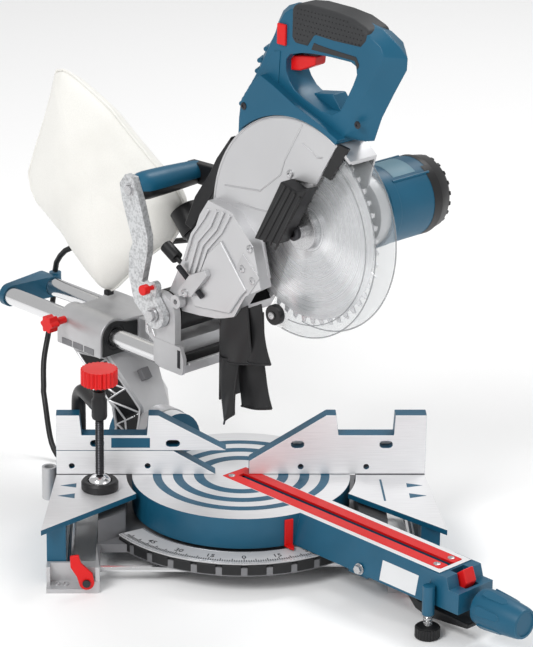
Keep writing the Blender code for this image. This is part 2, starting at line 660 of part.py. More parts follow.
def drive(frame):
    """The blade, its spindle with flanges, bolt and gear, and the motor's rotor with its pinion."""
    teeth = []
    for i in range(BLADE_TEETH):
        for fraction, depth in ((0.0, 0.0), (0.28, 0.0015), (0.42, 0.0075), (0.85, 0.0068)):
            radius = BLADE_R - depth
            angle = -2 * math.pi * (i + fraction) / BLADE_TEETH
            teeth.append((ARBOR[0] + radius * math.cos(angle), ARBOR[1] + radius * math.sin(angle)))
    blade = prism("y", -0.0009, 0.0009, teeth, circle(ARBOR, 0.0082, 20))
    object_of("saw_blade", blade, "steel", frame)

    spindle = rod_profile(
        (0.0085, -0.0180, -0.0105),
        (0.0220, -0.0105, -0.0012),
        (0.0079, -0.0012, 0.0012),
        (0.0220, 0.0012, 0.0080),
        (0.0079, 0.0080, 0.0340),
        (GEAR_R, 0.0340, 0.0440),
        (0.0079, 0.0440, 0.0465),
    )
    object_of("spindle", aimed(turned(spindle, 28), (ARBOR[0], 0, ARBOR[1]), (0, 1, 0)), "steel", frame)

    rotor = rod_profile(
        (PINION_R, 0.0330, 0.0450),
        (0.0050, 0.0450, 0.0600),
        (0.0330, 0.0600, 0.1080),
        (0.0050, 0.1080, 0.1200),
    )
    x, z = MOTOR_AXIS
    object_of("motor_rotor", aimed(turned(rotor, 28), (x, 0, z), (0, 1, 0)), "steel", frame)


def belt_outline(radius_a, radius_b):
    """The outline round the arbor's and the motor's circles."""
    (ax, az), (bx, bz) = ARBOR, MOTOR_AXIS
    heading = math.degrees(math.atan2(bz - az, bx - ax))
    lean = math.degrees(math.asin((radius_a - radius_b) / math.hypot(bx - ax, bz - az)))
    near = arc(ARBOR, radius_a, heading + 90 - lean, heading + 270 + lean, 18)
    far = arc(MOTOR_AXIS, radius_b, heading - 90 + lean, heading + 90 - lean, 14)
    return near + far


def power_unit(frame):
    """The gear housing, the motor housing and its end cap, each a hollow shell."""
    outside = prism("y", GUARD_HALF + GAP, 0.0480, belt_outline(0.0530, 0.0410))
    obj = object_of("gear_housing", outside, "cast_aluminium", frame)
    cut(obj, prism("y", 0.0270, 0.0500, belt_outline(0.0490, 0.0370)))
    union(obj, rod((ARBOR[0], 0.0125, ARBOR[1]), (ARBOR[0], 0.0240, ARBOR[1]), 0.0250, 28))
    cut(obj, rod((ARBOR[0], 0.0100, ARBOR[1]), (ARBOR[0], 0.0300, ARBOR[1]), 0.0083, 20))

    motor = [(MOTOR_R, 0.0483), (MOTOR_R, 0.1120), (0.0385, 0.1120)]
    motor += [(0.0385, 0.0540), (0.0056, 0.0540), (0.0056, 0.0483)]
    x, z = MOTOR_AXIS
    object_of("motor_housing", aimed(turned(motor, 40), (x, 0, z), (0, 1, 0)), "blue_paint", frame)
    cap = [(0, 0.1400), (0.0320, 0.1400), (0.0405, 0.1330), (0.0436, 0.1123)]
    cap += [(0.0385, 0.1123), (0.0385, 0.1260), (0, 0.1260)]
    obj = object_of("motor_cap", aimed(turned(cap, 40), (x, 0, z), (0, 1, 0)), "black_plastic", frame)
    wedge = [(x - 0.050, 0.1440), (x + 0.050, 0.1295), (x + 0.050, 0.1500), (x - 0.050, 0.1500)]
    cut(obj, prism("z", z - 0.060, z + 0.060, wedge))


def handle(frame):
    """The D-handle's two shells, each drawn in towards its outer face, with trigger and button."""
    seam = [(-0.0090, 0.4670), (-0.0135, 0.4920), (-0.0075, 0.5150), (0.0010, 0.5270), (0.0130, 0.5440)]
    seam += [(0.0200, 0.5690), (0.0395, 0.5980), (0.0450, 0.6140), (0.0520, 0.6270), (0.0610, 0.6345)]
    seam += [(0.0750, 0.6400), (0.0940, 0.6420), (0.1320, 0.6440), (0.1670, 0.6420), (0.2010, 0.6340)]
    seam += [(0.2250, 0.6200), (0.2350, 0.6110), (0.2345, 0.5980), (0.2180, 0.5700), (0.2015, 0.5400)]
    seam += [(0.1915, 0.5130), (0.1800, 0.5100), (0.1630, 0.5093)]
    face = [(0.0020, 0.4815), (0.0030, 0.5000), (0.0055, 0.5200), (0.0120, 0.5310), (0.0230, 0.5460)]
    face += [(0.0350, 0.5640), (0.0520, 0.5960), (0.0590, 0.6090), (0.0640, 0.6200), (0.0710, 0.6300)]
    face += [(0.0800, 0.6360), (0.0960, 0.6380), (0.1320, 0.6390), (0.1650, 0.6370), (0.1960, 0.6290)]
    face += [(0.2120, 0.6210), (0.2160, 0.6120), (0.2110, 0.6000), (0.1940, 0.5700), (0.1740, 0.5400)]
    face += [(0.1640, 0.5180), (0.1620, 0.5130), (0.1600, 0.5098)]
    loop = [(0.1240, 0.5940), (0.1730, 0.5950), (0.1780, 0.5900), (0.1780, 0.5820), (0.1660, 0.5590)]
    loop += [(0.1530, 0.5390), (0.1300, 0.5450), (0.0890, 0.5480), (0.0700, 0.5560), (0.0650, 0.5680)]
    loop += [(0.0680, 0.5850), (0.0900, 0.5900)]
    foot = arbor_arc(GUARD_R + 0.0008, 62, 139, 18)
    shells = {}
    for name, outer_y, seam_y in (("handle_left", -0.0125, 0.00485), ("handle_right", 0.0215, 0.00515)):
        ends = [[(x, y, z) for x, z in outline + foot] for y, outline in ((outer_y, face), (seam_y, seam))]
        shells[name] = object_of(name, loft(ends), "blue_paint", frame)
        cut(shells[name], prism("y", -0.0300, 0.0400, loop))
    cut(shells["handle_left"], box((0.0620, -0.0140, 0.5950), (0.0760, -0.0090, 0.6190)))
    button = box((0.0625, -0.0155, 0.5955), (0.0755, -0.0118, 0.6185))
    object_of("lock_button", button, "red_plastic", frame)
    trigger = [(0.0690, 0.5660), (0.0700, 0.5825), (0.0905, 0.5865), (0.1100, 0.5890)]
    trigger += [(0.1090, 0.5790), (0.0870, 0.5690)]
    object_of("trigger", prism("y", -0.0040, 0.0130, trigger), "red_plastic", frame)


def carry_handle(frame):
    """The S-shaped cast arm from the pivot, the grip across, and the black bracket behind the guard."""
    arm = [(-0.1365, 0.4125), (-0.1455, 0.4005), (-0.1415, 0.3825)]
    arm += [(-0.1235, 0.3355), (-0.1295, 0.3215), (-0.1305, 0.2945)]
    arm += [(-0.1215, 0.2655), (-0.1050, 0.2530)] + arc((PIVOT[0], PIVOT[1]), 0.0165, 215, 375, 10)
    arm += [(-0.0855, 0.2780), (-0.1075, 0.2930), (-0.0985, 0.3295)]
    arm += [(-0.0985, 0.3475), (-0.1110, 0.3845), (-0.1235, 0.4115)]
    bore = circle(PIVOT, PIN_R + GAP, 16)
    obj = object_of("carry_arm", prism("y", -0.0555, -0.0465, arm, bore), "cast_aluminium", frame)
    lobe = arc(LOCK_PIN, 0.0065, 0, 140, 8) + [(-0.1040, 0.2850), (-0.0870, 0.2700)]
    union(obj, prism("y", -0.0550, -0.0470, lobe))
    x, z = LOCK_PIN
    cut(obj, rod((x, -0.060, z), (x, -0.040, z), LOCK_PIN_R + GAP, 12))

    grip = [(0.0135, 0.0), (0.0165, 0.006), (0.0175, 0.030)]
    grip += [(0.0175, 0.066), (0.0165, 0.080), (0.0135, 0.0860)]
    profile = [(0, 0)] + grip + [(0, 0.0860)]
    grip = aimed(turned(profile, 24), (-0.1285, -0.0462, 0.3965), (0, 1, 0))
    object_of("carry_grip", grip, "blue_paint", frame)

    strap = [(-0.0165, 0.4740), (-0.0400, 0.4433), (-0.0497, 0.4257)]
    strap += [(-0.0746, 0.3912), (-0.0913, 0.3546), (-0.0790, 0.3500)]
    strap += [(-0.0640, 0.3740), (-0.0450, 0.4010), (-0.0340, 0.4250), (-0.0170, 0.4560)]
    obj = object_of("carry_bracket", prism("y", -0.0060, 0.0520, strap), "black_plastic", frame)
    horn = [(-0.0650, 0.3850), (-0.1400, 0.3850), (-0.1450, 0.3970), (-0.1380, 0.4090), (-0.0560, 0.4120)]
    union(obj, prism("y", 0.0403, 0.0520, horn))


def guard_and_roller(frame):
    """The clear lower guard on its hub ring, and the roller on its lower end."""
    hub, wall = 0.0310, 0.0020
    half, r = LOWER_GUARD_HALF, LOWER_GUARD_R
    profile = [(hub, -half), (r, -half), (r, half), (hub, half), (hub, half - wall)]
    profile += [(r - wall, half - wall), (r - wall, -half + wall), (hub, -half + wall)]
    start, sweep = -110, 170
    shell = turned(profile, 28, sweep)
    # After aiming along +y, the drawing's x runs along +x and its y along -z.
    turn = Matrix.Rotation(math.radians(-start - sweep), 3, "Z")
    bmesh.ops.rotate(shell, verts=shell.verts, cent=(0, 0, 0), matrix=turn)
    aimed(shell, (ARBOR[0], 0, ARBOR[1]), (0, 1, 0))
    obj = object_of("lower_guard", shell, "clear_plastic", frame)
    low, high = half - wall - GAP, half + GAP
    ring = turned([(0.0256, low), (0.0345, low), (0.0345, high), (0.0256, high)], 32)
    union(obj, aimed(ring, (ARBOR[0], 0, ARBOR[1]), (0, 1, 0)))
    angle = math.radians(-103)
    x, z = ARBOR[0] + 0.1020 * math.cos(angle), ARBOR[1] + 0.1020 * math.sin(angle)
    union(obj, rod((x, -0.0290, z), (x, -0.0150, z), 0.0024, 12))
    roller = turned([(0.0027, 0), (0.0114, 0), (0.0114, 0.0085), (0.0027, 0.0085)], 24)
    object_of("guard_roller", aimed(roller, (x, -0.0280, z), (0, 1, 0)), "rubber", frame)


def depth_stop(frame):
    stop = rod_profile((0.0075, 0, 0.0220), (0.0030, 0.0220, 0.0290))
    stop = aimed(turned(stop, 24), (-0.0960, -0.0300, 0.3330), (0.883, 0, -0.469))
    object_of("depth_stop", stop, "black_plastic", frame)


def dust_port(frame):
    """The chute behind the head, the cloth bag on it, and the rubber boot under the arm."""
    elbow = box((-0.0980, 0.0225, 0.2840), (-0.0600, 0.0560, 0.3200))
    obj = object_of("dust_chute", elbow, "black_plastic", frame)
    union(obj, rod((-0.0900, 0.0400, 0.3010), (-0.1335, 0.0400, 0.3415), 0.0160, 24))
    object_of("dust_bag", bag_shape(), "bag_cloth", frame)
    object_of("dust_boot", boot_shape(), "rubber", frame)


def bag_shape():
    """A pillow between the bag's four corners, its low corner bent to the left over the housing."""
    outline = [(-0.1390, 0.3490), (-0.1500, 0.3700), (-0.1930, 0.3930)]
    outline += [(-0.2700, 0.4420), (-0.3380, 0.4690), (-0.3680, 0.4680)]
    outline += [(-0.3900, 0.4060), (-0.4250, 0.3260), (-0.4080, 0.2950)]
    outline += [(-0.3300, 0.2550), (-0.2450, 0.2290), (-0.2320, 0.2330)]
    outline += [(-0.1950, 0.2800), (-0.1620, 0.3060), (-0.1450, 0.3300)]
    centre = Vector((-0.2700, 0.3550))
    low_corner = Vector((-0.2450, 0.2290))

    def middle(point):
        near = max(0.0, 1 - (Vector(point) - low_corner).length / 0.110)
        return 0.0400 - 0.0270 * near

    def ring(scale, offset):
        points = [centre + (Vector(p) - centre) * scale for p in outline]
        return [(p.x, middle(p) + offset, p.y) for p in points]

    half = [(1.0, 0.0020), (0.72, 0.0240), (0.30, 0.0340)]
    rings = [ring(scale, -offset) for scale, offset in reversed(half)]
    return loft(rings + [ring(scale, offset) for scale, offset in half])


def boot_shape():
    """Rubber walls left, behind and right of the blade, open to the front."""
    left = [(-0.0080, 0.2620), (0.0180, 0.2700), (0.0350, 0.2980)]
    left += [(0.0480, 0.3020), (0.0520, 0.2690), (0.0720, 0.2430)]
    left += [(0.0520, 0.2330), (0.0740, 0.2030), (0.0690, 0.1780)]
    left += [(0.0190, 0.1670), (0.0080, 0.1420), (-0.0080, 0.1520)]
    right = [(-0.0080, 0.2620), (0.0180, 0.2700), (0.0300, 0.2700), (0.0300, 0.1800), (-0.0080, 0.1700)]
    back = box((-0.0080, -0.0300, 0.1700), (-0.0050, 0.0190, 0.2615))
    return solid_union(prism("y", -0.0325, -0.0295, left), prism("y", 0.0180, 0.0210, right), back)


# ---------------------------------------------------------------- cord

UPPER_ROUTE = [
    (0.0823, 0.0820, 0.3997),
    (0.0400, 0.0830, 0.3850),
    (-0.0300, 0.0840, 0.3570),
    (-0.1200, 0.0830, 0.3150),
    (-0.2100, 0.0760, 0.2850),
    (-0.2900, 0.0640, 0.2640),
    (-0.3380, 0.0560, 0.2530),
    (-0.3680, 0.0520, 0.2400),
    (-0.3840, 0.0505, 0.2220),
    (-0.3880, 0.0505, 0.2085),
]
MIDDLE_ROUTE = [
    (-0.3880, 0.0505, 0.1922),
    (-0.3880, 0.0460, 0.1700),
    (-0.3800, 0.0330, 0.1380),
    (-0.3690, 0.0150, 0.1050),
    (-0.3530, 0.0010, 0.0760),
]
LOWER_ROUTE = [
    (-0.3510, -0.0010, 0.0730),
    (-0.3410, -0.0060, 0.0560),
    (-0.3300, -0.0110, 0.0330),
    (-0.3180, -0.0150, 0.0150),
    (-0.3020, -0.0160, 0.0055),
    (-0.2816, -0.0116, 0.0038),
]


def smooth_route(points, spacing):
    """Points at even spacing on the smooth curve through a route."""
    vectors = [Vector(p) for p in points]
    ends = [vectors[0] * 2 - vectors[1]] + vectors + [vectors[-1] * 2 - vectors[-2]]
    fine = []
    for a, b, c, d in zip(ends, ends[1:], ends[2:], ends[3:]):
        for i in range(24):
            t = i / 24
            fine.append(
                b
                + (c - a) * (t / 2)
                + (2 * a - 5 * b + 4 * c - d) * (t * t / 2)
                + (3 * b - a - 3 * c + d) * (t * t * t / 2)
            )
    fine.append(vectors[-1])
    total = sum((q - p).length for p, q in zip(fine, fine[1:]))
    count = max(2, round(total / spacing))
    kept, travelled, target = [fine[0]], 0.0, total / count
    for p, q in zip(fine, fine[1:]):
        step = (q - p).length
        while travelled + step >= target and len(kept) < count:
            kept.append(p.lerp(q, (target - travelled) / step))
            target += total / count
        travelled += step
    return kept + [fine[-1]] if len(kept) == count else kept


def cord(frame):
    """The mains cord: strain relief, three stretches, the stored coil and the plug."""
    start = Vector(UPPER_ROUTE[0])
    away = start - Vector((MOTOR_AXIS[0], start.y, MOTOR_AXIS[1]))
    length = away.length - MOTOR_R - 2 * GAP
    heading = away.normalized()
    relief = [(0, 0), (0.0085, 0), (0.0085, 0.005), (0.0062, 0.007), (0.0045, length), (0, length)]
    relief = aimed(turned(relief, 20), start - heading * (length + GAP), heading)
    object_of("cord_relief", relief, "rubber", frame)
    stretches = {"cord_upper": UPPER_ROUTE, "cord_middle": MIDDLE_ROUTE, "cord_lower": LOWER_ROUTE}
    for name, route in stretches.items():
        tube(name, smooth_route(route, 0.016), CORD_R, "rubber", frame)
    inner, outer = COIL_R - COIL_HALF_WIDTH, COIL_R + COIL_HALF_WIDTH
    coil = [(inner, 0.001), (inner + 0.003, 0), (outer - 0.003, 0), (outer, 0.001)]
    coil += [(outer, 0.0150), (outer - 0.004, COIL_HEIGHT), (inner + 0.004, COIL_HEIGHT), (inner, 0.0150)]
    object_of("cord_coil", aimed(turned(coil, 40), (*COIL_CENTRE, 0), (0, 0, 1)), "rubber")
    x, y = COIL_CENTRE
    body = [(x + 0.062, y - 0.014), (x + 0.094, y - 0.012), (x + 0.094, y + 0.012), (x + 0.062, y + 0.014)]
    obj = object_of("cord_plug", prism("z", 0.0005, 0.0190, body), "black_plastic")
    for offset in (-0.0064, 0.0064):
        union(obj, box((x + 0.092, y + offset - 0.0008, 0.0060), (x + 0.110, y + offset + 0.0008, 0.0125)))


# ---------------------------------------------------------------- assembly


def main():
    clear_scene()
    frame = bpy.data.objects.new("table_frame", None)
    frame.rotation_euler.z = MITER - math.pi / 2
    bpy.context.scene.collection.objects.link(frame)

    base = base_casting()
    cut_base_bores(base)
    miter_scale()
    fences()
    for side, word in ((-1, "left"), (1, "right")):
        cam_bolt(side, f"{word}_cam_bolt")
        cam_lever(side, f"{word}_cam_lever", 0 if side < 0 else 70)
        wing(side, f"{word}_wing")
    extension_rods(-1, "left_extension_rods", LEFT_ROD_ROWS)
    extension_rods(1, "right_extension_rods", RIGHT_ROD_ROWS)
    clamp()

    for build in (turntable, kerf_insert, arm_controls, bevel_joint, tilt_arm, slide_housing):
        build(frame)
    for build in (rail_lock_knob, slide_rails, rail_end_cap, carriage, head_lock_pin):
        build(frame)
    for build in (head_casting, pivot_pin, arbor_cover, drive, power_unit, handle, carry_handle):
        build(frame)
    for build in (guard_and_roller, depth_stop, dust_port, cord):
        build(frame)

    for obj in bpy.data.objects:
        if obj.type == "MESH" and not obj.hide_render:
            obj.data.shade_smooth()
            obj.data.set_sharp_from_angle(angle=math.radians(35))


main()
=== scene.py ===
"""The looks of the sliding miter saw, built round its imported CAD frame.

The world frame has X to the right, Y to the back and Z up. The table frame is the world
turned so that x runs along the saw's arm, y to its right; pieces on it are drawn there
and placed with TABLE. All sizes are in metres.
"""

import math

import bmesh
import bpy
from mathutils import Matrix, Vector
from mathutils.bvhtree import BVHTree


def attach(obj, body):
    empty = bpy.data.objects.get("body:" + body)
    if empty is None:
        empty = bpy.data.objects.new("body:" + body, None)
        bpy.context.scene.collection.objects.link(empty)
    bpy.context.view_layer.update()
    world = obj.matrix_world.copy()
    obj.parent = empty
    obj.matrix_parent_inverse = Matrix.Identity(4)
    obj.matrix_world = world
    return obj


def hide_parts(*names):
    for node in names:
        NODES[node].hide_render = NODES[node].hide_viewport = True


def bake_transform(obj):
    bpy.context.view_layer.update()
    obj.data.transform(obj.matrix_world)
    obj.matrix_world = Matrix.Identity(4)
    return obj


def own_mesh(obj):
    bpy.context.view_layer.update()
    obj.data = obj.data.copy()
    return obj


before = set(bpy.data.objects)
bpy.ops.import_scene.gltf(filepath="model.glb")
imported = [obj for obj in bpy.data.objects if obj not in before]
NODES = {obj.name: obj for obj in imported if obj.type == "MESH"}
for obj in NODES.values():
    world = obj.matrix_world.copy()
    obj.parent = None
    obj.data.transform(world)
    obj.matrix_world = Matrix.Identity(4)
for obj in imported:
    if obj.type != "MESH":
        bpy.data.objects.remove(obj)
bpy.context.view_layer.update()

MITER = math.radians(42)
TABLE = Matrix.Rotation(MITER - math.pi / 2, 4, "Z")
WORLD = Matrix.Identity(4)
TABLE_TOP = 0.0745
ARBOR = (0.0987, 0.3947)
MOTOR_AXIS = (0.1485, 0.422)
PIVOT = (-0.088, 0.258)
GRIP_AXIS = (-0.1285, 0.3965)
RAIL_HEIGHT = 0.1985
GUARD_R = 0.1283
ROLLER_R = 0.102
ROLLER_ANGLE = -103
ARM_SIDE = -0.0335
KNOB_HEIGHT = 0.042
MOTOR_R = 0.044
CLAMP_AXIS = (-0.1602, -0.04, 0)
FENCE_SCREW_HEIGHT = 0.0847
SKIN = 0.0002
SUNK = 0.0004

LEFT = (0, -1, 0)
FRONT = (0, -1, 0)
UP = (0, 0, 1)

CAMERA_PLACE = (-0.0889, -3.003, 1.3646)
CAMERA_YAW = math.radians(2.2)
CAMERA_PITCH = math.radians(20.21)
CAMERA_ROLL = math.radians(0.86)


# ---------------------------------------------------------------- camera, light and floor


def make_camera():
    """Looks as the photo does: slightly to the right, down, and rolled a little."""
    flat = math.cos(CAMERA_PITCH)
    look = Vector((math.sin(CAMERA_YAW) * flat, math.cos(CAMERA_YAW) * flat, -math.sin(CAMERA_PITCH)))
    level = look.cross(Vector((0, 0, 1))).normalized()
    upright = level.cross(look)
    right = level * math.cos(CAMERA_ROLL) + upright * math.sin(CAMERA_ROLL)
    up = upright * math.cos(CAMERA_ROLL) - level * math.sin(CAMERA_ROLL)
    turn = Matrix((right, up, -look)).transposed().to_4x4()
    data = bpy.data.cameras.new("camera")
    data.lens, data.sensor_width, data.clip_end = 159.0, 36, 100
    camera = bpy.data.objects.new("camera", data)
    bpy.context.scene.collection.objects.link(camera)
    camera.matrix_world = Matrix.Translation(CAMERA_PLACE) @ turn
    bpy.context.scene.camera = camera


def area_light(name, place, target, size, power):
    data = bpy.data.lights.new(name, "AREA")
    data.energy, data.size = power, size
    light = bpy.data.objects.new(name, data)
    bpy.context.scene.collection.objects.link(light)
    light.location = place
    light.rotation_euler = (Vector(target) - Vector(place)).to_track_quat("-Z", "Y").to_euler()


def make_studio():
    scene = bpy.context.scene
    scene.view_settings.view_transform = "Standard"
    world = bpy.data.worlds.new("studio")
    scene.world = world
    world.use_nodes = True
    background = world.node_tree.nodes["Background"]
    background.inputs["Color"].default_value = (1, 1, 1, 1)
    background.inputs["Strength"].default_value = 0.56
    area_light("key", (-1.6, -2.2, 2.6), (0, 0, 0.25), 1.4, 74)
    area_light("fill", (2.4, -2.0, 1.3), (0, 0, 0.25), 2.0, 15)
    area_light("rim", (1.3, 1.5, 3.2), (0, 0, 0.3), 1.2, 46)
    bpy.ops.mesh.primitive_plane_add(size=30)
    floor = bpy.context.object
    floor.name = "floor"
    material = bpy.data.materials.new("floor")
    material.use_nodes = True
    shader = material.node_tree.nodes["Principled BSDF"]
    shader.inputs["Base Color"].default_value = (0.97, 0.97, 0.97, 1)
    shader.inputs["Roughness"].default_value = 0.7
    floor.data.materials.append(material)


# ---------------------------------------------------------------- materials


class Look:
    """A Principled material with short ways to add noise to its colour, roughness and bump."""

    def __init__(self, name, slot, colour, roughness, metallic=0.0):
        self.slot = slot
        self.material = bpy.data.materials.new(name)
        self.material.use_nodes = True
        self.tree = self.material.node_tree
        self.shader = self.tree.nodes["Principled BSDF"]
        self.colour = (*colour, 1)
        self.shader.inputs["Base Color"].default_value = self.colour
        self.shader.inputs["Roughness"].default_value = roughness
        self.shader.inputs["Metallic"].default_value = metallic
        self.height = None

    def node(self, kind, **values):
        made = self.tree.nodes.new(kind)
        for key, value in values.items():
            if key in made.inputs:
                made.inputs[key].default_value = value
            else:
                setattr(made, key, value)
        return made

    def join(self, output, target):
        self.tree.links.new(output, target)

    def coordinates(self, stretch=(1, 1, 1)):
        where = self.node("ShaderNodeTexCoord")
        mapping = self.node("ShaderNodeMapping", Scale=stretch)
        self.join(where.outputs["Object"], mapping.inputs["Vector"])
        return mapping.outputs["Vector"]

    def noise(self, scale, detail=3.0, stretch=(1, 1, 1)):
        made = self.node("ShaderNodeTexNoise", Scale=scale, Detail=detail)
        self.join(self.coordinates(stretch), made.inputs["Vector"])
        return made.outputs["Fac"]

    def ramp(self, value, low, high, spread=(0.3, 0.7)):
        made = self.node("ShaderNodeMapRange")
        made.inputs["From Min"].default_value, made.inputs["From Max"].default_value = spread
        made.inputs["To Min"].default_value, made.inputs["To Max"].default_value = low, high
        self.join(value, made.inputs["Value"])
        return made.outputs["Result"]

    def vary_roughness(self, value, low, high):
        self.join(self.ramp(value, low, high), self.shader.inputs["Roughness"])
        return self

    def tint(self, value, other, amount=1.0, spread=(0.4, 0.65)):
        """Mixes another colour in where the value is high."""
        mix = self.node("ShaderNodeMix", data_type="RGBA")
        self.join(self.ramp(value, 0.0, amount, spread), mix.inputs["Factor"])
        source = self.shader.inputs["Base Color"]
        if source.is_linked:
            self.join(source.links[0].from_socket, mix.inputs["A"])
        else:
            mix.inputs["A"].default_value = self.colour
        mix.inputs["B"].default_value = (*other, 1)
        self.join(mix.outputs["Result"], source)
        return self

    def bump(self, value, distance, strength=1.0):
        made = self.node("ShaderNodeBump", Distance=distance, Strength=strength)
        self.join(value, made.inputs["Height"])
        if self.height:
            self.join(self.height.outputs["Normal"], made.inputs["Normal"])
        self.join(made.outputs["Normal"], self.shader.inputs["Normal"])
        self.height = made
        return self

    def worn(self, other, radius=0.0008, amount=0.5):
        """Lightens convex edges in noise patches, a painted highlight where rounded edges catch the light.
        """
        bevel = self.node("ShaderNodeBevel", samples=4, Radius=radius)
        shape = self.node("ShaderNodeNewGeometry")
        dot = self.node("ShaderNodeVectorMath", operation="DOT_PRODUCT")
        self.join(bevel.outputs["Normal"], dot.inputs[0])
        self.join(shape.outputs["Normal"], dot.inputs[1])
        edge = self.ramp(dot.outputs["Value"], 1.0, 0.0, (0.85, 0.99))
        # painted highlight: the edge mask times patchy noise, mixed in as a lighter colour
        highlight_patches = self.node("ShaderNodeMath", operation="MULTIPLY")
        self.join(edge, highlight_patches.inputs[0])
        self.join(self.ramp(self.noise(90), 0.0, amount, (0.35, 0.6)), highlight_patches.inputs[1])
        return self.tint(highlight_patches.outputs[0], other, 1.0, (0.0, 1.0))


def plastic(name, slot, colour, roughness, grain=0.00006):
    look = Look(name, slot, colour, roughness)
    look.shader.inputs["Specular IOR Level"].default_value = 0.35
    look.bump(look.noise(1400, 2), grain, 0.5)
    look.vary_roughness(look.noise(25), roughness - 0.06, roughness + 0.08)
    darker = tuple(c * 0.8 for c in colour)
    return look.tint(look.noise(9, 2), darker, 0.5)


def brushed(name, slot, colour, roughness, stretch):
    look = Look(name, slot, colour, roughness, 0.6 if slot == "machined_aluminium" else 0.85)
    look.bump(look.noise(60, 4, stretch), 0.00002, 0.4)
    look.vary_roughness(look.noise(45, 4, stretch), roughness - 0.05, roughness + 0.08)
    return look.tint(look.noise(30, 3, stretch), tuple(c * 0.9 for c in colour), 0.6)


def polished():
    look = Look("chrome", "steel", (0.78, 0.78, 0.79), 0.16, 1.0)
    look.vary_roughness(look.noise(35), 0.12, 0.24)
    return look.bump(look.noise(700, 2), 0.00002, 0.4)


def cast(name, slot, colour, roughness, metallic=0.55):
    look = Look(name, slot, colour, roughness, metallic)
    look.bump(look.noise(420, 4), 0.00018, 0.5)
    look.vary_roughness(look.noise(60), roughness - 0.08, roughness + 0.1)
    return look.tint(look.noise(14, 3), tuple(c * 0.78 for c in colour), 0.6)


def smooth_silver():
    look = Look("guard_silver", "cast_aluminium", (0.58, 0.58, 0.59), 0.4, 0.6)
    look.vary_roughness(look.noise(18), 0.34, 0.46)
    look.bump(look.noise(900, 2), 0.00005, 0.4)
    return look.tint(look.noise(5, 2), (0.5, 0.5, 0.51), 0.6)


def galvanised():
    look = Look("galvanised", "cast_aluminium", (0.46, 0.47, 0.48), 0.45, 0.7)
    cells = look.node("ShaderNodeTexVoronoi", Scale=330)
    look.join(look.coordinates(), cells.inputs["Vector"])
    look.tint(cells.outputs["Distance"], (0.72, 0.73, 0.74), 0.8, (0.1, 0.6))
    look.tint(look.noise(170, 4), (0.25, 0.25, 0.26), 0.6, (0.5, 0.7))
    return look.bump(look.noise(300, 3), 0.00015, 0.5)


def cloth():
    look = Look("bag_cloth", "bag_cloth", (0.82, 0.81, 0.77), 0.85)
    look.shader.inputs["Sheen Weight"].default_value = 0.25
    for direction in ("X", "Z"):
        thread = look.node("ShaderNodeTexWave", Scale=260, bands_direction=direction, Distortion=0.6)
        look.join(look.coordinates(), thread.inputs["Vector"])
        look.bump(thread.outputs["Fac"], 0.00012, 0.5)
    look.tint(look.noise(11, 4), (0.7, 0.69, 0.65), 0.6, (0.45, 0.75))
    return look.tint(look.noise(900, 2), (0.74, 0.73, 0.69), 0.5)


def clear():
    look = Look("clear_plastic", "clear_plastic", (0.55, 0.58, 0.6), 0.08)
    look.shader.inputs["Alpha"].default_value = 0.14
    look.shader.inputs["Coat Weight"].default_value = 0.8
    return look.vary_roughness(look.noise(40), 0.05, 0.14)


def smoked():
    look = Look("smoked_edge", "clear_plastic", (0.2, 0.21, 0.22), 0.15)
    look.shader.inputs["Alpha"].default_value = 0.55
    return look.vary_roughness(look.noise(40), 0.1, 0.2)


def blade_steel():
    """Ground steel with rings of roughness round the arbor and bright sectors of painted sheen, both drawn
    from the arbor's axis.
    """
    look = Look("blade_steel", "steel", (0.62, 0.62, 0.63), 0.24, 0.7)
    where = look.node("ShaderNodeTexCoord")
    offset = look.node("ShaderNodeVectorMath", operation="SUBTRACT")
    look.join(where.outputs["Object"], offset.inputs[0])
    offset.inputs[1].default_value = TABLE @ Vector((ARBOR[0], 0, ARBOR[1]))
    turn = look.node("ShaderNodeVectorRotate", rotation_type="Z_AXIS", Angle=math.pi / 2 - MITER)
    look.join(offset.outputs["Vector"], turn.inputs["Vector"])
    reach = look.node("ShaderNodeVectorMath", operation="LENGTH")
    look.join(offset.outputs["Vector"], reach.inputs[0])
    rings = look.node("ShaderNodeTexNoise", Scale=160, Detail=2, noise_dimensions="1D")
    look.join(reach.outputs["Value"], rings.inputs["W"])
    parts = look.node("ShaderNodeSeparateXYZ")
    look.join(turn.outputs["Vector"], parts.inputs["Vector"])
    angle = look.node("ShaderNodeMath", operation="ARCTAN2")
    look.join(parts.outputs["X"], angle.inputs[0])
    look.join(parts.outputs["Z"], angle.inputs[1])
    # painted sheen: four bright sectors round the arbor, mixed into the steel's colour
    painted_sheen = look.node("ShaderNodeMath", operation="SINE")
    twice = look.node("ShaderNodeMath", operation="MULTIPLY")
    look.join(angle.outputs[0], twice.inputs[0])
    twice.inputs[1].default_value = 4.0
    look.join(twice.outputs[0], painted_sheen.inputs[0])
    look.vary_roughness(rings.outputs["Fac"], 0.22, 0.34)
    return look.tint(painted_sheen.outputs[0], (0.9, 0.9, 0.91), 0.85, (0.1, 1.0))


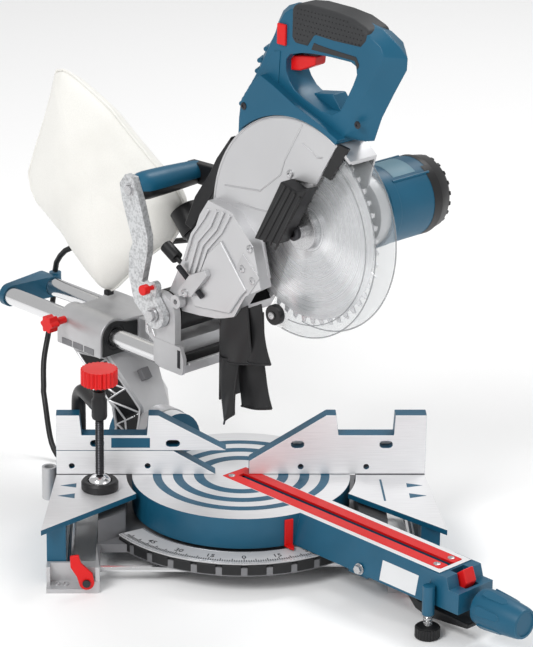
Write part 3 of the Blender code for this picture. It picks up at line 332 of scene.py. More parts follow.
BLUE = (0.006, 0.092, 0.168)
LOOKS = {
    # blue, blue_paint and black carry a painted highlight on their convex edges
    "blue": plastic("blue_plastic", "blue_paint", BLUE, 0.42).worn((0.06, 0.22, 0.33)),
    "blue_paint": cast("blue_paint", "blue_paint", BLUE, 0.36, 0.1).worn((0.3, 0.36, 0.4), 0.0006, 0.4),
    "black": plastic("black_plastic", "black_plastic", (0.011, 0.011, 0.012), 0.4).worn((0.07, 0.07, 0.07)),
    "rubber": plastic("soft_rubber", "rubber", (0.012, 0.012, 0.013), 0.4, 0.00008),
    "grip_rubber": plastic("grip_rubber", "rubber", (0.03, 0.031, 0.033), 0.62, 0.00014),
    "red": plastic("red_plastic", "red_plastic", (0.66, 0.006, 0.006), 0.38),
    "cast": cast("cast_silver", "cast_aluminium", (0.56, 0.56, 0.57), 0.42),
    # a darker cast grey; on the base casting it is partly its own tone and partly painted shade beneath the
    # wings and table
    "cast_dark": cast("cast_grey", "cast_aluminium", (0.22, 0.22, 0.23), 0.5),
    "guard": smooth_silver(),
    "machined": brushed("machined", "machined_aluminium", (0.86, 0.86, 0.87), 0.5, (1, 40, 40)),
    "turned": brushed("machined_table", "machined_aluminium", (0.8, 0.8, 0.81), 0.48, (1, 30, 30)),
    "chrome": polished(),
    "bolt": brushed("bolt_steel", "steel", (0.55, 0.55, 0.56), 0.28, (20, 20, 20)),
    "dark_bolt": brushed("dark_steel", "steel", (0.05, 0.05, 0.055), 0.35, (20, 20, 20)),
    "blade": blade_steel(),
    "galvanised": galvanised(),
    "cloth": cloth(),
    "clear": clear(),
    "smoked": smoked(),
    "tag": plastic("plain_tag", "blue_paint", (0.13, 0.26, 0.33), 0.5),
    "scale": plastic("scale_silver", "machined_aluminium", (0.5, 0.5, 0.51), 0.38),
    "paper": plastic("label_stock", "machined_aluminium", (0.72, 0.73, 0.74), 0.5),
}


# ---------------------------------------------------------------- mesh tools


def along(axis, point, depth):
    """A drawing's point placed at a depth along x, y or z."""
    a, b = point
    return {"x": (depth, a, b), "y": (a, depth, b), "z": (a, b, depth)}[axis]


def prism(axis, low, high, *loops):
    """A drawing extruded along an axis. The first loop is the outline and the rest are holes."""
    shape = bmesh.new()
    edges = []
    for loop in loops:
        verts = [shape.verts.new(along(axis, p, low)) for p in loop]
        edges += [shape.edges.new((verts[i - 1], verts[i])) for i in range(len(verts))]
    bmesh.ops.triangle_fill(shape, use_beauty=True, edges=edges)
    bmesh.ops.dissolve_limit(shape, angle_limit=0.01, verts=shape.verts, edges=shape.edges)
    made = bmesh.ops.extrude_face_region(shape, geom=list(shape.faces))
    tops = [g for g in made["geom"] if isinstance(g, bmesh.types.BMVert)]
    bmesh.ops.translate(shape, verts=tops, vec=along(axis, (0, 0), high - low))
    return shape


def box(low, high):
    corners = [(low[0], low[1]), (high[0], low[1]), (high[0], high[1]), (low[0], high[1])]
    return prism("z", low[2], high[2], corners)


def arc(centre, radius, start, end, steps):
    angles = [math.radians(start + (end - start) * i / steps) for i in range(steps + 1)]
    return [(centre[0] + radius * math.cos(a), centre[1] + radius * math.sin(a)) for a in angles]


def circle(centre, radius, steps=32):
    return arc(centre, radius, 0, 360, steps)[:-1]


def knurled(centre, radii, teeth):
    """A round outline whose radius runs through the given radii once for each tooth."""
    steps = len(radii) * teeth
    outline = []
    for i in range(steps):
        angle, radius = math.tau * i / steps, radii[i % len(radii)]
        outline.append((centre.x + radius * math.cos(angle), centre.y + radius * math.sin(angle)))
    return outline


def turned(profile, steps=48):
    """A profile of (radius, height) points turned about z."""
    shape = bmesh.new()
    verts = [shape.verts.new((r, 0, z)) for r, z in profile]
    edges = [shape.edges.new((verts[i], verts[i + 1])) for i in range(len(verts) - 1)]
    if profile[0][0] > 0:
        edges.append(shape.edges.new((verts[-1], verts[0])))
    around = {"cent": (0, 0, 0), "axis": UP, "angle": math.tau, "steps": steps, "use_merge": True}
    bmesh.ops.spin(shape, geom=verts + edges, **around)
    bmesh.ops.remove_doubles(shape, verts=shape.verts, dist=1e-6)
    return shape


def aimed(shape, origin, direction):
    turn = Vector((0, 0, 1)).rotation_difference(Vector(direction)).to_matrix().to_4x4()
    bmesh.ops.transform(shape, matrix=Matrix.Translation(origin) @ turn, verts=shape.verts)
    return shape


def rod(start, end, radius, steps=24, chamfer=0.0):
    length = (Vector(end) - Vector(start)).length
    profile = [(0, 0), (radius - chamfer, 0)]
    if chamfer:
        profile += [(radius, chamfer), (radius, length - chamfer)]
    else:
        profile += [(radius, length)]
    profile += [(radius - chamfer, length), (0, length)] if chamfer else [(0, length)]
    return aimed(turned(profile, steps), start, Vector(end) - Vector(start))


def gathered(*shapes):
    """Several solids as one mesh."""
    carrier = bpy.data.meshes.new("carrier")
    whole = bmesh.new()
    for shape in shapes:
        bmesh.ops.recalc_face_normals(shape, faces=shape.faces)
        shape.to_mesh(carrier)
        shape.free()
        whole.from_mesh(carrier)
    bpy.data.meshes.remove(carrier)
    return whole


def swept(points, radius, sides=12, section=None):
    """A round or drawn section swept along points, with closed ends.

    The radius may be a function of how far along the route it is, from 0 to 1.
    """
    points = [Vector(p) for p in points]
    shape = bmesh.new()
    rings = []
    tangent = (points[1] - points[0]).normalized()
    upright = abs(tangent.z) > 0.9
    side = (tangent.orthogonal() if upright else tangent.cross(Vector(UP))).normalized()
    outline = section or circle((0, 0), 1.0, sides)
    for i, point in enumerate(points):
        ahead = points[min(i + 1, len(points) - 1)] - points[max(i - 1, 0)]
        turn = tangent.rotation_difference(ahead.normalized())
        tangent = ahead.normalized()
        side = turn @ side
        up = tangent.cross(side)
        size = radius(i / (len(points) - 1)) if callable(radius) else radius
        rings.append([shape.verts.new(point + (side * a + up * b) * size) for a, b in outline])
    for below, above in zip(rings, rings[1:]):
        for k in range(len(below)):
            shape.faces.new((below[k - 1], below[k], above[k], above[k - 1]))
    shape.faces.new(rings[0])
    shape.faces.new(rings[-1])
    return shape


def smooth_route(points, spacing):
    """Points at even spacing on the smooth curve through a route."""
    vectors = [Vector(p) for p in points]
    ends = [vectors[0] * 2 - vectors[1]] + vectors + [vectors[-1] * 2 - vectors[-2]]
    fine = []
    for a, b, c, d in zip(ends, ends[1:], ends[2:], ends[3:]):
        for i in range(24):
            t = i / 24
            slope, bend, twist = c - a, 2 * a - 5 * b + 4 * c - d, 3 * b - a - 3 * c + d
            fine.append(0.5 * (2 * b + slope * t + bend * t * t + twist * t * t * t))
    fine.append(vectors[-1])
    total = sum((q - p).length for p, q in zip(fine, fine[1:]))
    count = max(2, round(total / spacing))
    kept, travelled, target = [fine[0]], 0.0, total / count
    for p, q in zip(fine, fine[1:]):
        step = (q - p).length
        while travelled + step >= target and len(kept) < count:
            kept.append(p.lerp(q, (target - travelled) / step))
            target += total / count
        travelled += step
    return kept + [fine[-1]] if len(kept) == count else kept


def bevel(obj, width, segments=2, angle=38):
    made = obj.modifiers.new("edges", "BEVEL")
    made.width, made.segments = width, segments
    made.limit_method, made.angle_limit = "ANGLE", math.radians(angle)
    made.harden_normals = True
    made.use_clamp_overlap = True
    return made


def piece(name, shape, look, body, place=TABLE, edge=0.0, segments=2, smooth=38, loose=False):
    """One visible piece, moved from its drawing's frame to the world's, finished and riding on its body."""
    bmesh.ops.transform(shape, matrix=place, verts=shape.verts)
    bmesh.ops.recalc_face_normals(shape, faces=shape.faces)
    mesh = bpy.data.meshes.new(name)
    shape.to_mesh(mesh)
    shape.free()
    chosen = [look] if isinstance(look, str) else look
    for each in chosen:
        mesh.materials.append(LOOKS[each].material)
    mesh.shade_smooth()
    mesh.set_sharp_from_angle(angle=math.radians(smooth))
    obj = bpy.data.objects.new(name, mesh)
    bpy.context.scene.collection.objects.link(obj)
    if edge:
        bevel(obj, edge, segments)
    if not loose:
        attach(obj, body)
    return obj


def finish(names, looks, edge=0.0007, choose=None):
    """Gives carried-over CAD nodes their materials, smooth rounds and softened edges."""
    chosen = [looks] if isinstance(looks, str) else looks
    for name in [names] if isinstance(names, str) else names:
        obj = NODES[name]
        obj.data.materials.clear()
        for each in chosen:
            obj.data.materials.append(LOOKS[each].material)
        for polygon in obj.data.polygons:
            polygon.use_smooth = True
            polygon.material_index = choose(polygon) if choose else 0
        if "custom_normal" in obj.data.attributes:
            obj.data.attributes.remove(obj.data.attributes["custom_normal"])
        weld = obj.modifiers.new("weld", "WELD")
        weld.merge_threshold = 0.00001
        flat = obj.modifiers.new("flat", "DECIMATE")
        flat.decimate_type, flat.angle_limit = "DISSOLVE", math.radians(0.5)
        flat.delimit = {"MATERIAL"}
        bevel(obj, edge)


# ---------------------------------------------------------------- cord

CORD_R = 0.0035
UPPER_ROUTE = [
    (0.0823, 0.082, 0.3997),
    (0.04, 0.083, 0.385),
    (-0.03, 0.084, 0.357),
    (-0.12, 0.083, 0.315),
    (-0.21, 0.076, 0.285),
    (-0.29, 0.064, 0.264),
    (-0.338, 0.056, 0.253),
    (-0.368, 0.052, 0.24),
    (-0.384, 0.0505, 0.222),
    (-0.388, 0.0505, 0.2085),
]
MIDDLE_ROUTE = [
    (-0.388, 0.0505, 0.1922),
    (-0.388, 0.046, 0.17),
    (-0.38, 0.033, 0.138),
    (-0.369, 0.015, 0.105),
    (-0.353, 0.001, 0.076),
]
LOWER_ROUTE = [
    (-0.351, -0.001, 0.073),
    (-0.341, -0.006, 0.056),
    (-0.33, -0.011, 0.033),
    (-0.318, -0.015, 0.015),
    (-0.302, -0.016, 0.0055),
    (-0.2816, -0.0116, 0.0038),
]
COIL_CENTRE = Vector((-0.15, 0.176, 0))
COIL_TURNS = ((0.0485, 0.0038), (0.0415, 0.0038), (0.0345, 0.0038), (0.0345, 0.0109), (0.0415, 0.0109),
    (0.0485, 0.0109))


def in_world(points):
    return [TABLE @ Vector(p) for p in points]


def coil_points():
    """Six turns in two layers, each turn easing to the next radius and height in its last quarter."""
    points = []
    steps = 28
    first = math.atan2(*reversed((TABLE @ Vector(LOWER_ROUTE[-1]) - COIL_CENTRE).xy))
    for turn, (radius, height) in enumerate(COIL_TURNS):
        after = COIL_TURNS[min(turn + 1, len(COIL_TURNS) - 1)]
        for i in range(steps):
            ease = max(0.0, (i / steps - 0.75) / 0.25)
            ease = ease * ease * (3 - 2 * ease)
            r = radius + (after[0] - radius) * ease
            z = height + (after[1] - height) * ease
            angle = first - math.tau * (i / steps) - 0.35
            points.append(COIL_CENTRE + Vector((r * math.cos(angle), r * math.sin(angle), z)))
    return points


def cord_piece(name, points):
    return piece(name, swept(points, CORD_R, 14), "rubber", None, WORLD, loose=True)


def make_cord():
    upper = in_world(smooth_route(UPPER_ROUTE, 0.012))
    middle = in_world(smooth_route(MIDDLE_ROUTE + [(-0.3505, -0.0015, 0.0722)], 0.01))
    lower = in_world(smooth_route(LOWER_ROUTE, 0.01))
    coil = coil_points()
    lower = smooth_route(lower[:-2] + [coil[0], coil[2], coil[4]], 0.009)[:-1] + coil[5:]

    obj = cord_piece("mains_cord_upper", upper)
    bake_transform(obj)
    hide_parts("cord_upper")

    obj = cord_piece("mains_cord_middle", middle)
    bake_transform(obj)
    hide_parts("cord_middle")

    obj = cord_piece("mains_cord_lower", lower)
    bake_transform(obj)
    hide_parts("cord_lower", "cord_coil")
    finish("cord_plug", "black", 0.0015)
    finish("cord_relief", "rubber", 0.0003)


# ---------------------------------------------------------------- fasteners


def cap_screw(name, at, direction, radius, height, look, body, place=TABLE):
    """A domed head with a round socket."""
    dome = [(0.0, height * 0.45), (radius * 0.42, height * 0.45), (radius * 0.42, height),
        (radius * 0.72, height)]
    dome += [(radius * 0.95, height * 0.75), (radius, height * 0.45), (radius, 0.0), (0.0, 0.0)]
    shape = turned(dome, 24)
    return piece(name, aimed(shape, at, direction), look, body, place)


def hex_bolt(name, at, direction, radius, height, look, body, place=TABLE):
    head = prism("z", 0.0, height, circle((0, 0), radius, 6))
    washer = turned([(0, -0.0002), (radius * 1.25, -0.0002), (radius * 1.25, 0.0006), (0, 0.0006)], 28)
    return piece(name, aimed(gathered(head, washer), at, direction), look, body, place, edge=0.0003)


def thread(start, end, radius, pitch, look, name, body, place=TABLE):
    """A rod with a thread cut round it, as a stack of V rings."""
    length = (Vector(end) - Vector(start)).length
    turns = int(length / pitch)
    profile = [(0, 0)]
    for i in range(turns):
        profile += [(radius * 0.86, i * pitch), (radius, (i + 0.5) * pitch)]
    profile += [(radius * 0.86, turns * pitch), (0, turns * pitch)]
    return piece(name, aimed(turned(profile, 20), start, Vector(end) - Vector(start)), look, body, place)


# ---------------------------------------------------------------- table and base


def table_top_face(polygon):
    """1 on the machined top of the table or a wing, 0 on its painted sides."""
    return 1 if polygon.normal.z > 0.9 and polygon.center.z > TABLE_TOP - 0.001 else 0


def foot_block_face(polygon):
    """1 on the silver front foot blocks, 0 on the rest of the base casting, whose darker grey is partly its
    own tone and partly painted shade beneath the wings and table.
    """
    return 1 if abs(polygon.center.x) > 0.155 and polygon.center.y < -0.128 else 0


def fence_front_face(polygon):
    """1 on a fence's machined front, 0 on its painted back and ends."""
    return 1 if polygon.normal.y < -0.9 and polygon.center.y < 0.0005 else 0


def wing_face(polygon):
    """2 on the wing's bare socket, else as for the table's top."""
    socket = abs(polygon.center.x) > 0.2112 and polygon.center.y > 0.01
    return 2 if socket else table_top_face(polygon)


def ring_outline(inner, outer, half_gap):
    """A ring broken where the arm's channel crosses it."""
    a = math.degrees(math.asin(half_gap / outer))
    b = math.degrees(math.asin(half_gap / inner))
    steps = 72
    return arc((0, 0), outer, a, 360 - a, steps) + arc((0, 0), inner, 360 - b, b, steps)


def dress_table():
    finish("turntable", ["blue_paint", "turned"], 0.0009, table_top_face)
    for i, (inner, outer) in enumerate(((0.0425, 0.054), (0.067, 0.078), (0.091, 0.101))):
        outline = ring_outline(inner, outer, 0.0195)
        piece(f"table_groove_{i + 1}", prism("z", TABLE_TOP - SUNK, TABLE_TOP + SKIN, outline),
            "blue_paint", "table")
    finish("kerf_insert", "red", 0.0004)
    rim, slot, start, end = 0.0182, 0.0042, -0.0112, 0.3245
    top = [(start, -rim), (end, -rim), (end, -slot), (0.0, -slot), (0.0, slot), (end, slot), (end, rim),
        (start, rim)]
    piece("insert_face", prism("z", TABLE_TOP - SUNK, TABLE_TOP + 0.0003, top), "red", "table")
    for i, at in enumerate(((0.3155, -0.0112), (0.3155, 0.0112), (-0.004, -0.0108))):
        cap_screw(f"insert_screw_{i + 1}", (*at, TABLE_TOP), UP, 0.004, 0.0014, "bolt", "table")
    block = prism("x", 0.202, 0.232, [(-0.03, 0.033), (-0.028, 0.04), (0.028, 0.04), (0.03, 0.033)])
    piece("arm_block", block, "blue_paint", "table", edge=0.001)
    hex_bolt("pivot_lock_bolt", (0.2217, -0.0326, 0.043), LEFT, 0.0052, 0.0045, "bolt", "table")
    side = [(-0.0326, 0.0405), (-0.0278, 0.0625), (-0.027, 0.0625), (-0.0318, 0.0405)]
    piece("arm_plate_blank", prism("x", 0.252, 0.305, side), "paper", "table")
    pointer = box((-0.005, 0.0, 0.0395), (0.005, 0.0022, 0.07))
    foot = prism("z", 0.0378, 0.04, [(-0.005, 0.0), (0.005, 0.0), (0.003, 0.01), (0.0, 0.015),
        (-0.003, 0.01)])
    stand = Matrix.Rotation(math.radians(-108.5), 4, "Z") @ Matrix.Translation((0, 0.1247, 0))
    red = gathered(pointer, foot)
    bmesh.ops.transform(red, matrix=stand, verts=red.verts)
    piece("miter_pointer", red, "red", "table", edge=0.0005)
    finish("detent_lever", "black", 0.002)
    finish("detent_release", "red", 0.0015)
    finish("bevel_clamp_plate", "blue_paint", 0.001)
    finish("bevel_lock_lever", "black", 0.0015)
    miter_knob()
    levelling_foot()


def miter_knob():
    """The tapered knob with raised grips, and its rod."""
    profile = [(0, 0.37), (0.015, 0.37), (0.0195, 0.372), (0.0208, 0.378), (0.0212, 0.388), (0.02, 0.408)]
    profile += [(0.0178, 0.428), (0.0165, 0.4318), (0.0138, 0.4325), (0.013, 0.431), (0, 0.431)]
    knob = aimed(turned(profile, 64), (0, 0, KNOB_HEIGHT), (1, 0, 0))
    obj = piece("miter_knob", knob, "blue", "miter_lock")
    grips = []
    rib = [(0.38, -0.0046), (0.386, -0.0056), (0.408, -0.0044), (0.413, 0.0), (0.408, 0.0044),
        (0.386, 0.0056)]
    for i in range(6):
        grip = prism("z", 0.0, 0.0022, rib + [(0.38, 0.0046)])
        lean = Matrix.Translation((0.386, 0, 0.0198)) @ Matrix.Rotation(math.radians(4), 4, "Y")
        spun = Matrix.Rotation(math.tau * i / 6 + 0.3, 4, "X")
        place = Matrix.Translation((0, 0, KNOB_HEIGHT)) @ spun @ lean @ Matrix.Translation((-0.386, 0, 0))
        bmesh.ops.transform(grip, matrix=place, verts=grip.verts)
        grips.append(grip)
    piece("miter_knob_grips", gathered(*grips), "blue", "miter_lock", edge=0.0008)
    piece("miter_knob_rod", rod((0.302, 0, KNOB_HEIGHT), (0.3705, 0, KNOB_HEIGHT), 0.005), "chrome",
        "miter_lock")
    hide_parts("miter_lock_knob")


def levelling_foot():
    """A knurled foot on a threaded stud with its spring."""
    at = Vector((0.326, -0.034, 0))
    outline = knurled(at, (0.0128, 0.0138, 0.0138), 24)
    obj = piece("foot_knob", prism("z", 0.0008, 0.0125, outline), "black", "front_foot", edge=0.0005)
    pad = turned([(0, 0), (0.012, 0), (0.0128, 0.001), (0.012, 0.0135), (0.006, 0.014), (0, 0.014)], 32)
    piece("foot_pad", aimed(pad, at, UP), "rubber", "front_foot")
    thread(at + Vector((0, 0, 0.0135)), at + Vector((0, 0, 0.0425)), 0.0032, 0.0012, "bolt", "foot_stud",
        "front_foot")
    coil = []
    for i in range(73):
        angle = math.tau * i / 12
        height = 0.0148 + 0.0118 * i / 72
        coil.append(at + Vector((0.0046 * math.cos(angle), 0.0046 * math.sin(angle), height)))
    spring = piece("foot_spring", swept(coil, 0.0005, 6), "chrome", "front_foot")
    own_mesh(spring)
    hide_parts("levelling_foot")


def scale_ring():
    """The silver scale on its black notched detent ring, with ticks and angles."""
    notched = []
    for start in range(-150, -32, 10):
        notched += arc((0, 0), 0.1622, start + 1.4, start + 8.6, 5)
        notched += arc((0, 0), 0.159, start + 9.2, start + 10.8, 1) if start < -45 else []
    notched += arc((0, 0), 0.134, -31.0, -149.0, 40)
    obj = piece("detent_ring", prism("z", 0.0235, 0.0348, notched), "black", "base", WORLD, edge=0.0005)
    band = arc((0, 0), 0.16, -150, -30, 60) + arc((0, 0), 0.1275, -30, -150, 60)
    piece("scale_band", prism("z", 0.035, 0.0366, band), "scale", "base", WORLD, edge=0.0004)
    for i, radius in enumerate((0.1595, 0.156, 0.13)):
        lip = arc((0, 0), radius, -150, -30, 60) + arc((0, 0), radius - 0.0012, -30, -150, 60)
        piece(f"scale_lip_{i + 1}", prism("z", 0.0362, 0.0371, lip), "bolt", "base", WORLD, edge=0.0003)
    ticks = []
    for degree in range(-57, 58):
        long = 0.0075 if degree % 5 == 0 else 0.0045
        tick = box((-0.00045, -0.1552, 0.0364), (0.00045, -0.1552 + long, 0.037))
        turn = Matrix.Rotation(math.radians(degree), 3, "Z")
        bmesh.ops.rotate(tick, verts=tick.verts, cent=(0, 0, 0), matrix=turn)
        ticks.append(tick)
    piece("scale_ticks", gathered(*ticks), "black", "base", WORLD)
    for degree in range(-45, 46, 15):
        data = bpy.data.curves.new(f"angle_{degree + 45}", "FONT")
        data.body = str(abs(degree))
        data.size, data.align_x, data.extrude = 0.0105, "CENTER", 0.0001
        data.materials.append(LOOKS["black"].material)
        label = bpy.data.objects.new(f"scale_angle_{degree + 45}", data)
        bpy.context.scene.collection.objects.link(label)
        turn = Matrix.Rotation(math.radians(degree), 4, "Z")
        label.matrix_world = turn @ Matrix.Translation((0, -0.146, 0.0368))
        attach(label, "base")
    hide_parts("miter_scale")


def dress_base():
    # the base casting beyond the foot blocks takes the darker grey, partly its own tone and partly painted
    # shade beneath the wings and table
    finish("base_casting", ["cast_dark", "cast"], 0.001, foot_block_face)
    scale_ring()
    finish(["fence_lower_left", "fence_upper_left", "fence_right"], ["blue_paint", "machined"], 0.0008,
        fence_front_face)
    finish(["left_cam_lever", "right_cam_lever"], "red", 0.0009)
    finish(["left_cam_bolt", "right_cam_bolt"], "dark_bolt", 0.0003)
    finish(["left_extension_rods", "right_extension_rods"], "chrome", 0.0004)
    for side, word in ((-1, "left"), (1, "right")):
        finish(f"{word}_wing", ["blue_paint", "turned", "cast"], 0.0009, wing_face)
        wing_marks(side, word)
    for i, x in enumerate((-0.193, -0.1067, 0.068, 0.143)):
        at = (x, 0.006, FENCE_SCREW_HEIGHT)
        cap_screw(f"fence_screw_{i + 1}", at, FRONT, 0.0028, 0.0022, "dark_bolt", "base", WORLD)
    slots = (
        (-0.164, 0.1127, "left_fence"),
        (-0.078, 0.1127, "left_fence"),
        (0.064, 0.1114, "base"),
        (0.165, 0.1114, "base"),
    )
    for i, (x, z, body) in enumerate(slots):
        ends = arc((x + 0.0034, z), 0.0039, -90, 90, 8) + arc((x - 0.0034, z), 0.0039, 90, 270, 8)
        backing = prism("y", 0.012, 0.017, ends)
        piece(f"slot_backing_{i + 1}", backing, "dark_bolt" if i < 2 else "machined", body, WORLD)
    for i, (x, y) in enumerate(((-0.196, -0.1435), (-0.205, -0.1435))):
        rim = turned([(0.0022, 0), (0.0036, 0), (0.0036, 0.0012), (0.0022, 0.0012)], 24)
        piece(f"mounting_hole_{i + 1}", aimed(rim, (x, y, 0.005), UP), "bolt", "base", WORLD)
    label = box((-0.148, -0.0004, 0.1075), (-0.104, 0.0006, 0.1195))
    piece("fence_plate", label, "blue", "left_fence", WORLD, edge=0.0002)


def wing_marks(side, word):
    """Two painted wedges on the wing, and a line on the right one."""
    body = f"{word}_wing_table"
    low, high = TABLE_TOP - SUNK, TABLE_TOP + SKIN
    for i, wedge in enumerate((
        [(0.205, -0.0317), (0.187, -0.0256), (0.187, -0.0372)],
        [(0.207, -0.0605), (0.188, -0.054), (0.188, -0.0675)],
    )):
        wedge = [(side * x, y) for x, y in wedge]
        piece(f"{word}_wing_mark_{i + 1}", prism("z", low, high, wedge), "blue_paint", body, WORLD)
    if side > 0:
        line = [(0.157, -0.015), (0.1594, -0.015), (0.1607, -0.075), (0.1583, -0.075)]
        piece("right_wing_line", prism("z", low, high, line), "blue_paint", body, WORLD)


def dress_clamp():
    """The bent clamp arm, its threaded screw with a ribbed knob, and the swivel foot."""
    post, screw = Vector((-0.1855, 0.03, 0)), Vector(CLAMP_AXIS)
    route = [post + Vector((0, 0, z)) for z in (0.075, 0.1, 0.13, 0.152)]
    for t, z in ((0.06, 0.1635), (0.22, 0.1712), (0.45, 0.1725), (0.75, 0.1725), (1.0, 0.1725)):
        route.append(post.lerp(screw, t) + Vector((0, 0, z)))
    arm = swept(smooth_route(route, 0.006), 0.0082, 16)
    profile = [(0.0056, 0.16), (0.008, 0.16), (0.0088, 0.1625), (0.0088, 0.182)]
    profile += [(0.007, 0.185), (0.007, 0.1925), (0.0056, 0.1925)]
    collar = aimed(turned(profile, 32), screw, UP)
    obj = piece("clamp_bracket", gathered(arm, collar), "black", "work_clamp", WORLD)
    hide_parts("clamp_arm")

    outline = knurled(screw, (0.0192, 0.0208, 0.0208, 0.0192), 24)
    obj = piece("clamp_knob", prism("z", 0.2015, 0.2198, outline), "red", "clamp_knob", WORLD, edge=0.0009)
    boss = turned([(0, 0.196), (0.0072, 0.196), (0.0078, 0.198), (0.0078, 0.2017), (0, 0.2017)], 32)
    piece("clamp_knob_boss", aimed(boss, screw, UP), "black", "clamp_knob", WORLD)
    thread((screw.x, screw.y, 0.0925), (screw.x, screw.y, 0.1965), 0.005, 0.002, "dark_bolt",
        "clamp_thread", "clamp_knob", WORLD)
    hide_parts("clamp_screw")

    ring = turned([(0.0135, 0.0748), (0.0205, 0.0748), (0.021, 0.076), (0.021, 0.083), (0.019, 0.0855),
        (0.014, 0.085)], 48)
    obj = piece("clamp_foot_ring", aimed(ring, screw, UP), "rubber", "clamp_foot", WORLD)
    dome = turned([(0, 0.077), (0.0134, 0.077), (0.0134, 0.0835), (0.0118, 0.0872), (0.0085, 0.09),
        (0.0058, 0.0912), (0, 0.0918)], 40)
    piece("clamp_foot_dome", aimed(dome, screw, UP), "chrome", "clamp_foot", WORLD)
    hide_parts("clamp_pad")


# ---------------------------------------------------------------- tilt arm, rails and carriage


def side_point(s, t):
    """A point on the tilt arm's left side: s runs from front edge to rear edge, t from foot to top."""
    stations = [
        (Vector((-0.129, -0.017, 0.06)), Vector((-0.1745, -0.034, 0.06))),
        (Vector((-0.1465, -0.019, 0.118)), Vector((-0.1745, -0.044, 0.118))),
        (Vector((-0.19, -0.034, 0.1755)), Vector((-0.24, -0.048, 0.1755))),
    ]
    k = min(int(t * 2), 1)
    part = t * 2 - k
    front = stations[k][0].lerp(stations[k + 1][0], part)
    rear = stations[k][1].lerp(stations[k + 1][1], part)
    return front.lerp(rear, s)


def onto(name, points, direction, lift):
    """The points moved along a direction onto a CAD node's surface, and raised a little off it."""
    mesh = NODES[name].data
    tree = BVHTree.FromPolygons([v.co for v in mesh.vertices], [f.vertices for f in mesh.polygons])
    outward = TABLE.to_3x3() @ direction
    moved = []
    for point in points:
        start = TABLE @ point
        hit = tree.ray_cast(start + outward * 0.06, -outward, 0.09)[0]
        moved.append(TABLE.inverted() @ ((hit or start) + outward * lift))
    return moved


def dress_tilt():
    finish("tilt_arm", "cast", 0.0012)
    outward = Vector((0.35, -0.93, 0.0)).normalized()
    # painted shade: a black sheet laid over the arm's left side, where its truss pockets lie in shadow; the
    # cast ribs sit on it
    panel = bmesh.new()
    columns, rows = 8, 16
    grid = []
    for j in range(rows + 1):
        height = 0.2 + 0.76 * j / rows
        row = [side_point(0.12 + 0.8 * i / columns, height) for i in range(columns + 1)]
        grid.append([panel.verts.new(p) for p in onto("tilt_arm", row, outward, 0.0006)])
    for low, high in zip(grid, grid[1:]):
        for i in range(columns):
            panel.faces.new((low[i], low[i + 1], high[i + 1], high[i]))
    piece("tilt_arm_painted_shade", panel, "black", "tilt")
    zigzag = [(0.12, 0.2), (0.92, 0.3), (0.14, 0.44), (0.92, 0.56), (0.14, 0.68), (0.92, 0.8), (0.14, 0.95)]
    frame_lines = [((0.92, 0.2), (0.92, 0.96)), ((0.12, 0.2), (0.12, 0.96)), ((0.12, 0.96), (0.92, 0.96))]
    frame_lines += [((0.12, 0.2), (0.92, 0.2)), ((0.5, 0.25), (0.92, 0.56)), ((0.5, 0.62), (0.92, 0.8))]
    ribs = []
    for start, end in list(zip(zigzag, zigzag[1:])) + frame_lines:
        route = [side_point(start[0] + (end[0] - start[0]) * i / 8, start[1] + (end[1] - start[1]) * i / 8)
                 for i in range(9)]
        ribs.append(swept(onto("tilt_arm", route, outward, 0.001), 0.0013, 6))
    piece("tilt_arm_ribs", gathered(*ribs), "cast", "tilt")
    slot = box((-0.164, -0.006, 0.144), (-0.156, 0.006, 0.158))
    turn = Matrix.Rotation(math.radians(-38), 4, "Y")
    lean = Matrix.Translation((-0.1655, 0, 0.15)) @ turn @ Matrix.Translation((0.16, 0, -0.151))
    bmesh.ops.transform(slot, matrix=lean, verts=slot.verts)
    piece("tilt_arm_slot", slot, "cast_dark", "tilt", edge=0.0005)

    finish("slide_housing", "cast", 0.0014)
    finish("rail_lock_knob", "red", 0.0012)
    for i, (y, x) in enumerate(((-0.03, -0.184), (0.03, -0.166), (-0.03, -0.262), (0.03, -0.262))):
        direction = 1 if i < 2 else -1
        ring = turned([(0.0114, 0), (0.0165, 0), (0.0165, 0.0008), (0.015, 0.0013), (0.0118, 0.0013)], 40)
        piece(f"rail_seal_{i + 1}", aimed(ring, (x, y, RAIL_HEIGHT), (direction, 0, 0)), "black", "tilt")
    arch = [(-0.0492, 0.1775), (-0.0492, 0.2)] + arc((-0.03, RAIL_HEIGHT), 0.0192, 180, 70, 12)
    arch += [(-0.012, 0.2135), (0.004, 0.212), (0.004, 0.1775)]
    hole = circle((-0.03, RAIL_HEIGHT), 0.0155, 32)
    piece("housing_mouth", prism("x", -0.1842, -0.1822, arch, hole), "black", "tilt", edge=0.0004)
    for i, x in enumerate((-0.244, -0.224, -0.204)):
        rib = box((x - 0.0085, -0.0532, 0.1775), (x + 0.0085, -0.0524, 0.185))
        piece(f"housing_window_{i + 1}", rib, "cast_dark", "tilt", edge=0.0003)


def dress_carriage():
    finish(["left_rail", "right_rail"], "chrome", 0.0006)
    finish("rail_end_cap", "blue_paint", 0.0015)
    finish("carriage", "cast", 0.0009)
    finish("pivot_pin", "bolt", 0.0005)
    slot = [(-0.0585, 0.2), (-0.0535, 0.2), (-0.0535, 0.2215), (-0.0585, 0.2215)]
    piece("nose_slot", prism("y", -0.0464, -0.0455, slot), "dark_bolt", "slide_carriage", edge=0.0004)
    for i, (low, high) in enumerate((((-0.05, -0.038, 0.204), (-0.0462, 0.026, 0.207)),
                                     ((-0.064, -0.04, 0.2038), (-0.056, 0.034, 0.213)))):
        piece(f"nose_step_{i + 1}", box(low, high), "black" if i else "cast", "slide_carriage", edge=0.0006)
    clip = [(-0.105, -0.047, 0.229), (-0.108, -0.0475, 0.238), (-0.103, -0.0475, 0.242),
        (-0.096, -0.047, 0.228)]
    piece("spring_clip", swept(smooth_route(clip, 0.002), 0.0009, 8), "chrome", "slide_carriage")


# ---------------------------------------------------------------- saw head


